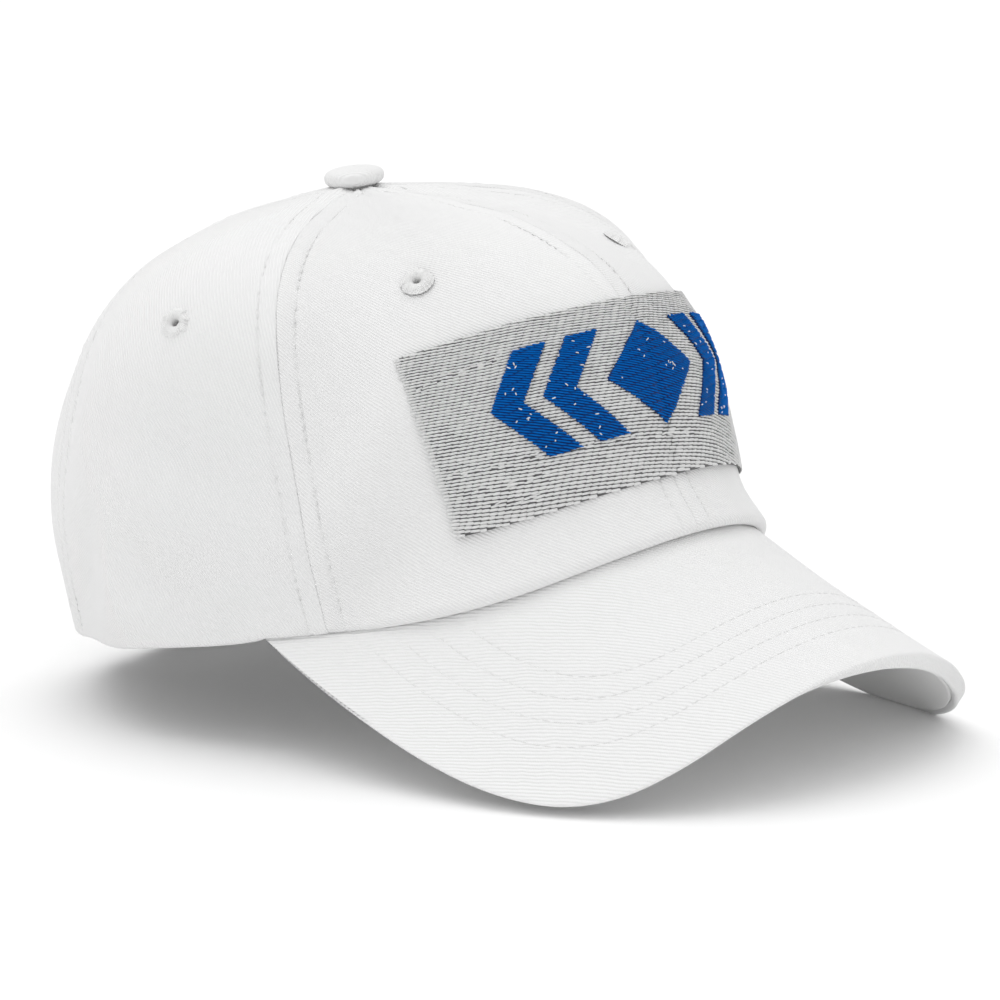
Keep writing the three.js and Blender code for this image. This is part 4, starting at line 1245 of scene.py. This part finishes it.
def motif_stitches(inside, centre, reach):
    """Starts and ends of the stitches that fill a shape, line by line."""
    lean = math.radians(MOTIF_LEAN)
    direction = np.array([math.cos(lean), math.sin(lean)])
    across = np.array([-direction[1], direction[0]])
    starts, ends = [], []
    for line, offset in enumerate(np.arange(-reach, reach, MOTIF_PITCH)):
        t = np.arange(-reach, reach, MOTIF_STEP)
        points = centre + direction * t[:, None] + across * offset
        mask = inside(points[:, 0], points[:, 1])
        edges = np.flatnonzero(np.diff(np.concatenate([[0], mask.astype(int), [0]])))
        for first, last in zip(edges[::2], edges[1::2] - 1):
            low, high = t[first], t[last]
            knots = np.arange(-reach + (line % 4) * MOTIF_OFFSET, reach, MOTIF_STITCH)
            knots = knots[(knots > low + MOTIF_END) & (knots < high - MOTIF_END)]
            cuts = np.concatenate([[low - rng.uniform(0, 0.3)], knots + rng.normal(0, 0.12, len(knots)),
                                   [high + rng.uniform(0, 0.3)]])
            for a, b in zip(cuts[:-1], cuts[1:]):
                if b - a > MOTIF_SHORTEST:
                    starts.append(centre + direction * a + across * (offset + rng.normal(0, 0.03)))
                    ends.append(centre + direction * b + across * (offset + rng.normal(0, 0.03)))
    return starts, ends


def make_motif(name, inside, left, right):
    centre = np.array([(left + right) / 2, MOTIF_MIDDLE])
    starts, ends = motif_stitches(inside, centre, 0.5 * (right - left) + MOTIF_HALF_HEIGHT + 4)
    piece = surface_stitches(name + "_threads", starts, ends, MOTIF_LIFT, MOTIF_THREAD, sink=0.9)
    finish_piece(piece, blue_thread, [name])
    x = np.arange(left - BASE_GRID, right + BASE_GRID, BASE_GRID)
    half = MOTIF_HALF_HEIGHT + BASE_GRID
    y = np.arange(MOTIF_MIDDLE - half, MOTIF_MIDDLE + half, BASE_GRID)
    grid_x, grid_y = np.meshgrid(x, y)
    outer, _ = patch_surface(grid_x, grid_y, BASE_HIGH)
    inner, _ = patch_surface(grid_x, grid_y, BASE_LOW)
    keep = inside(grid_x[:-1, :-1] + BASE_GRID / 2, grid_y[:-1, :-1] + BASE_GRID / 2)
    # The base's dark blue is painted shade that shows between the threads
    piece = closed_sheet(name + "_base", outer, inner, spread(grid_x, grid_y, 0), keep)
    finish_piece(piece, blue_shaded_ground, [])
    spots = np.stack([rng.uniform(left, right, FLECK_TRIES), rng.uniform(y[0], y[-1], FLECK_TRIES)], -1)
    spots = spots[inside(spots[:, 0], spots[:, 1])][:FLECK_COUNT]
    turn = rng.uniform(0, math.pi, len(spots))
    half = np.stack([np.cos(turn), np.sin(turn)], -1) * rng.uniform(0.2, 0.5, len(spots))[:, None]
    ends = spots - half, spots + half
    piece = surface_stitches(name + "_flecks", *ends, FLECK_LIFT, FLECK_THREAD, sink=1.5)
    finish_piece(piece, patch_thread, [])


make_motif("motif_lozenge", in_lozenge, -LOZENGE_HALF_WIDTH, LOZENGE_HALF_WIDTH)
for side, word in ((-1, "right"), (1, "left")):
    for place, start in CHEVRON_STARTS.items():
        ends = sorted((side * (start - CHEVRON_MARGIN), side * (start + CHEVRON_DEPTH + CHEVRON_MARGIN)))
        make_motif(f"motif_chevron_{word}_{place}", in_chevron(side, start), *ends)

# Inner band, strap and buckle
def wrap_angle(angle):
    return (angle + 180) % 360 - 180


def height_for_rise(angle, rise):
    low = np.zeros(np.broadcast(angle, rise).shape)
    high = low + 0.6
    for _ in range(28):
        middle = (low + high) / 2
        above = crown_point(angle, middle, False)[..., 2] - hem_height(angle) >= rise
        high = np.where(above, middle, high)
        low = np.where(above, low, middle)
    return (low + high) / 2


def band_grid(angles, rises, depth):
    angle = wrap_angle(angles)[None, :] + 0 * rises[:, None]
    rise = rises[:, None] + 0 * angle
    height = height_for_rise(angle, rise)
    base = crown_point(angle, height, False)
    normal = crown_normal(angle, height, False)
    inward = depth + dent_depth(angle, base[..., 2])
    return base - normal * inward[..., None], normal


TAPE_ROLL_REACH = 0.9


def make_tape(name, angles, rises, depth, thickness, squeeze):
    """A tape inside the crown, thinner by squeeze on either side, and the points of its outside."""
    near, _ = band_grid(angles, rises, depth + squeeze)
    far, _ = band_grid(angles, rises, depth + thickness - squeeze)
    return closed_sheet(name, near, far, spread(angles * MM_PER_DEGREE, rises[:, None], 0)), near


def edge_roll(edge, amount):
    """How much thinner a tape is near its edges."""
    return amount * (1 - np.clip(edge / TAPE_ROLL_REACH, 0, 1)) ** 2


BAND_END_ANGLE, BAND_LOW, BAND_HIGH, BAND_DEPTH, BAND_THICKNESS = 147, 0.9, 33.0, 2.2, 1.2
BAND_ROLL, BAND_UNEVEN, BAND_UNEVEN_SIZE, BAND_STITCH_RISE = 0.45, 0.22, 34, 4.2
BAND_EDGE_ROWS, BAND_TOP_ROWS = (0, 0.15, 0.45, 0.9, 1.6), (0.8, 0.35, 0.1, 0)


def make_band():
    angles = np.linspace(-BAND_END_ANGLE, BAND_END_ANGLE, 420)
    middle_rows = np.linspace(BAND_LOW + 2.6, BAND_HIGH - 1.4, 15)
    low_rows, top_rows = BAND_LOW + np.array(BAND_EDGE_ROWS), BAND_HIGH - np.array(BAND_TOP_ROWS)
    rises = np.concatenate([low_rows, middle_rows, top_rows])
    around = angles * MM_PER_DEGREE
    roll = edge_roll(np.minimum(rises - BAND_LOW, BAND_HIGH - rises), BAND_ROLL)[:, None]
    uneven = np.abs(BAND_UNEVEN * waves(around[None, :], 2 * rises[:, None], BAND_UNEVEN_SIZE, 71))
    piece, near = make_tape("sweatband_tape", angles, rises, BAND_DEPTH + uneven, BAND_THICKNESS, roll)
    finish_piece(piece, cotton["band"], ["sweatband"])
    declare_cloth(BAND_HIGH - BAND_LOW, path_length(near[len(rises) // 2]))
    uneven = BAND_UNEVEN * np.abs(waves(around, 2 * BAND_STITCH_RISE, BAND_UNEVEN_SIZE, 71))
    depth = BAND_DEPTH + BAND_THICKNESS + 0.02 + uneven
    points, normals = band_grid(angles, np.array([BAND_STITCH_RISE]), depth)
    band_run = run_of_stitches(points[0], -normals[0], SEAM_PITCH)
    finish_piece(stitches("band_stitches", *band_run, THREAD), white_thread, [])


STRAP_DEPTH, STRAP_THICKNESS, STRAP_LOW, STRAP_HIGH, STRAP_HALF_ANGLE = 2.1, 1.4, 2.9, 22.9, 30.5
STRAP_ROLL, STRAP_GROOVE, STRAP_GROOVE_REACH, STRAP_STITCH_IN = 0.6, 0.16, 0.5, 2.2
STRAP_ROWS = (0, 0.15, 0.45, 0.9, 1.6), (18.4, 19.1, 19.55, 19.85, 20.0)


def make_strap():
    angles = np.linspace(180 - STRAP_HALF_ANGLE, 180 + STRAP_HALF_ANGLE, 130)
    low_rows, high_rows = STRAP_ROWS
    rises = np.concatenate([low_rows, np.linspace(2.4, 17.6, 12), high_rows])
    rises = rises * (STRAP_HIGH - STRAP_LOW) / high_rows[-1] + STRAP_LOW
    edge = np.minimum(rises - STRAP_LOW, STRAP_HIGH - rises)
    groove = STRAP_GROOVE * np.exp(-((edge - STRAP_STITCH_IN) / STRAP_GROOVE_REACH) ** 2)
    squeeze = (edge_roll(edge, STRAP_ROLL) + groove)[:, None]
    piece, near = make_tape("back_strap_cloth", angles, rises, STRAP_DEPTH, STRAP_THICKNESS, squeeze)
    finish_piece(piece, cotton["trim"], ["back_strap"])
    declare_cloth(STRAP_HIGH - STRAP_LOW, path_length(near[len(rises) // 2]))
    runs = []
    for rise in (STRAP_LOW + STRAP_STITCH_IN, STRAP_HIGH - STRAP_STITCH_IN):
        points, normals = band_grid(angles, np.array([rise]), STRAP_DEPTH + 0.1)
        runs.append(run_of_stitches(points[0], normals[0], STRAP_PITCH))
    finish_piece(stitches("strap_stitches", *join_runs(runs), THREAD), white_thread, [])


make_band()
make_strap()

BUCKLE_ROUND, FLAT_ANGLE, SHARP_ANGLE, MERGE_DISTANCE = 0.4, 1, 30, 0.001


def make_buckle():
    """The plain one-piece slider, with its edges rounded over."""
    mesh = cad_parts["strap_buckle"].data.copy()
    mesh.materials.clear()
    shape = bmesh.new()
    shape.from_mesh(mesh)
    bmesh.ops.remove_doubles(shape, verts=shape.verts[:], dist=MERGE_DISTANCE * METRES)
    flat = math.radians(FLAT_ANGLE)
    bmesh.ops.dissolve_limit(shape, angle_limit=flat, verts=shape.verts[:], edges=shape.edges[:])
    sharp = [edge for edge in shape.edges if edge.calc_face_angle(0) > math.radians(SHARP_ANGLE)]
    bmesh.ops.bevel(shape, geom=sharp, offset=BUCKLE_ROUND * METRES, segments=3, profile=0.5, affect="EDGES",
                    clamp_overlap=True)
    bmesh.ops.triangulate(shape, faces=shape.faces[:])
    shape.to_mesh(mesh)
    shape.free()
    finish_piece(add_object("buckle_slider", mesh), buckle_metal, ["strap_buckle"])


make_buckle()

# Floor, in metres
HALF_FLOOR = 12.0
corners = [(x * HALF_FLOOR, y * HALF_FLOOR, 0) for x, y in ((-1, -1), (1, -1), (1, 1), (-1, 1))]
floor_mesh = bpy.data.meshes.new("floor")
floor_mesh.from_pydata(corners, [], [(0, 1, 2, 3)])
floor = add_object("floor", floor_mesh)
floor_material, floor_tree, floor_shader = node_tree("floor")
floor_shader.inputs["Base Color"].default_value = (0.93, 0.93, 0.93, 1)
floor_shader.inputs["Emission Color"].default_value = (1, 1, 1, 1)
floor_shader.inputs["Emission Strength"].default_value = 0.04
floor_shader.inputs["Roughness"].default_value = 0.9
floor_shader.inputs["Specular IOR Level"].default_value = 0.1
floor_mesh.materials.append(floor_material)

# Light: a sky that is brighter overhead, and one soft lamp
SKY_LOW, SKY_RISE = 0.52, 0.66
LAMP_ENERGY, LAMP_ANGLE, LAMP_TURN = 0.56, 60, (-14, -4, 0)
scene = bpy.context.scene
world = bpy.data.worlds.new("studio")
scene.world = world
world.use_nodes = True
sky = world.node_tree
backdrop = sky.nodes["Background"]
backdrop.inputs["Color"].default_value = (1, 1, 1, 1)
direction = sky.nodes.new("ShaderNodeTexCoord")
parts = sky.nodes.new("ShaderNodeSeparateXYZ")
sky.links.new(direction.outputs["Generated"], parts.inputs[0])
height = math_node(sky, "MAXIMUM", parts.outputs[2], 0.0)
sky.links.new(math_node(sky, "MULTIPLY_ADD", height, SKY_RISE, SKY_LOW), backdrop.inputs["Strength"])
overhead_data = bpy.data.lights.new("overhead", "SUN")
overhead_data.energy = LAMP_ENERGY
overhead_data.angle = math.radians(LAMP_ANGLE)
overhead = add_object("overhead", overhead_data)
overhead.rotation_euler = [math.radians(turn) for turn in LAMP_TURN]

# Camera
CAMERA_AZIMUTH, CAMERA_ELEVATION, CAMERA_DISTANCE = -43.98, 11.72, 1763.6
CAMERA_ASIDE, CAMERA_AIM_HEIGHT = 17.98, 53.62
FOCAL_PIXELS, PHOTO_PIXELS = 6568.6, 1000
azimuth, elevation = math.radians(CAMERA_AZIMUTH), math.radians(CAMERA_ELEVATION)
level, rise = math.cos(elevation), math.sin(elevation)
right = np.array([math.cos(azimuth), math.sin(azimuth), 0])
back = np.array([math.sin(azimuth) * level, -math.cos(azimuth) * level, rise])
target = CROWN_CENTRE + CAMERA_ASIDE * right + np.array([0, 0, CAMERA_AIM_HEIGHT])
camera_data = bpy.data.cameras.new("camera")
camera_data.sensor_width = 36
camera_data.lens = FOCAL_PIXELS / PHOTO_PIXELS * camera_data.sensor_width
camera_data.clip_end = 100
camera = add_object("camera", camera_data)
camera.location = (target + back * CAMERA_DISTANCE) * METRES
camera.rotation_euler = (math.pi / 2 - elevation, 0, azimuth)
scene.camera = camera
scene.view_settings.view_transform = "Standard"
scene.view_settings.exposure = 0.0
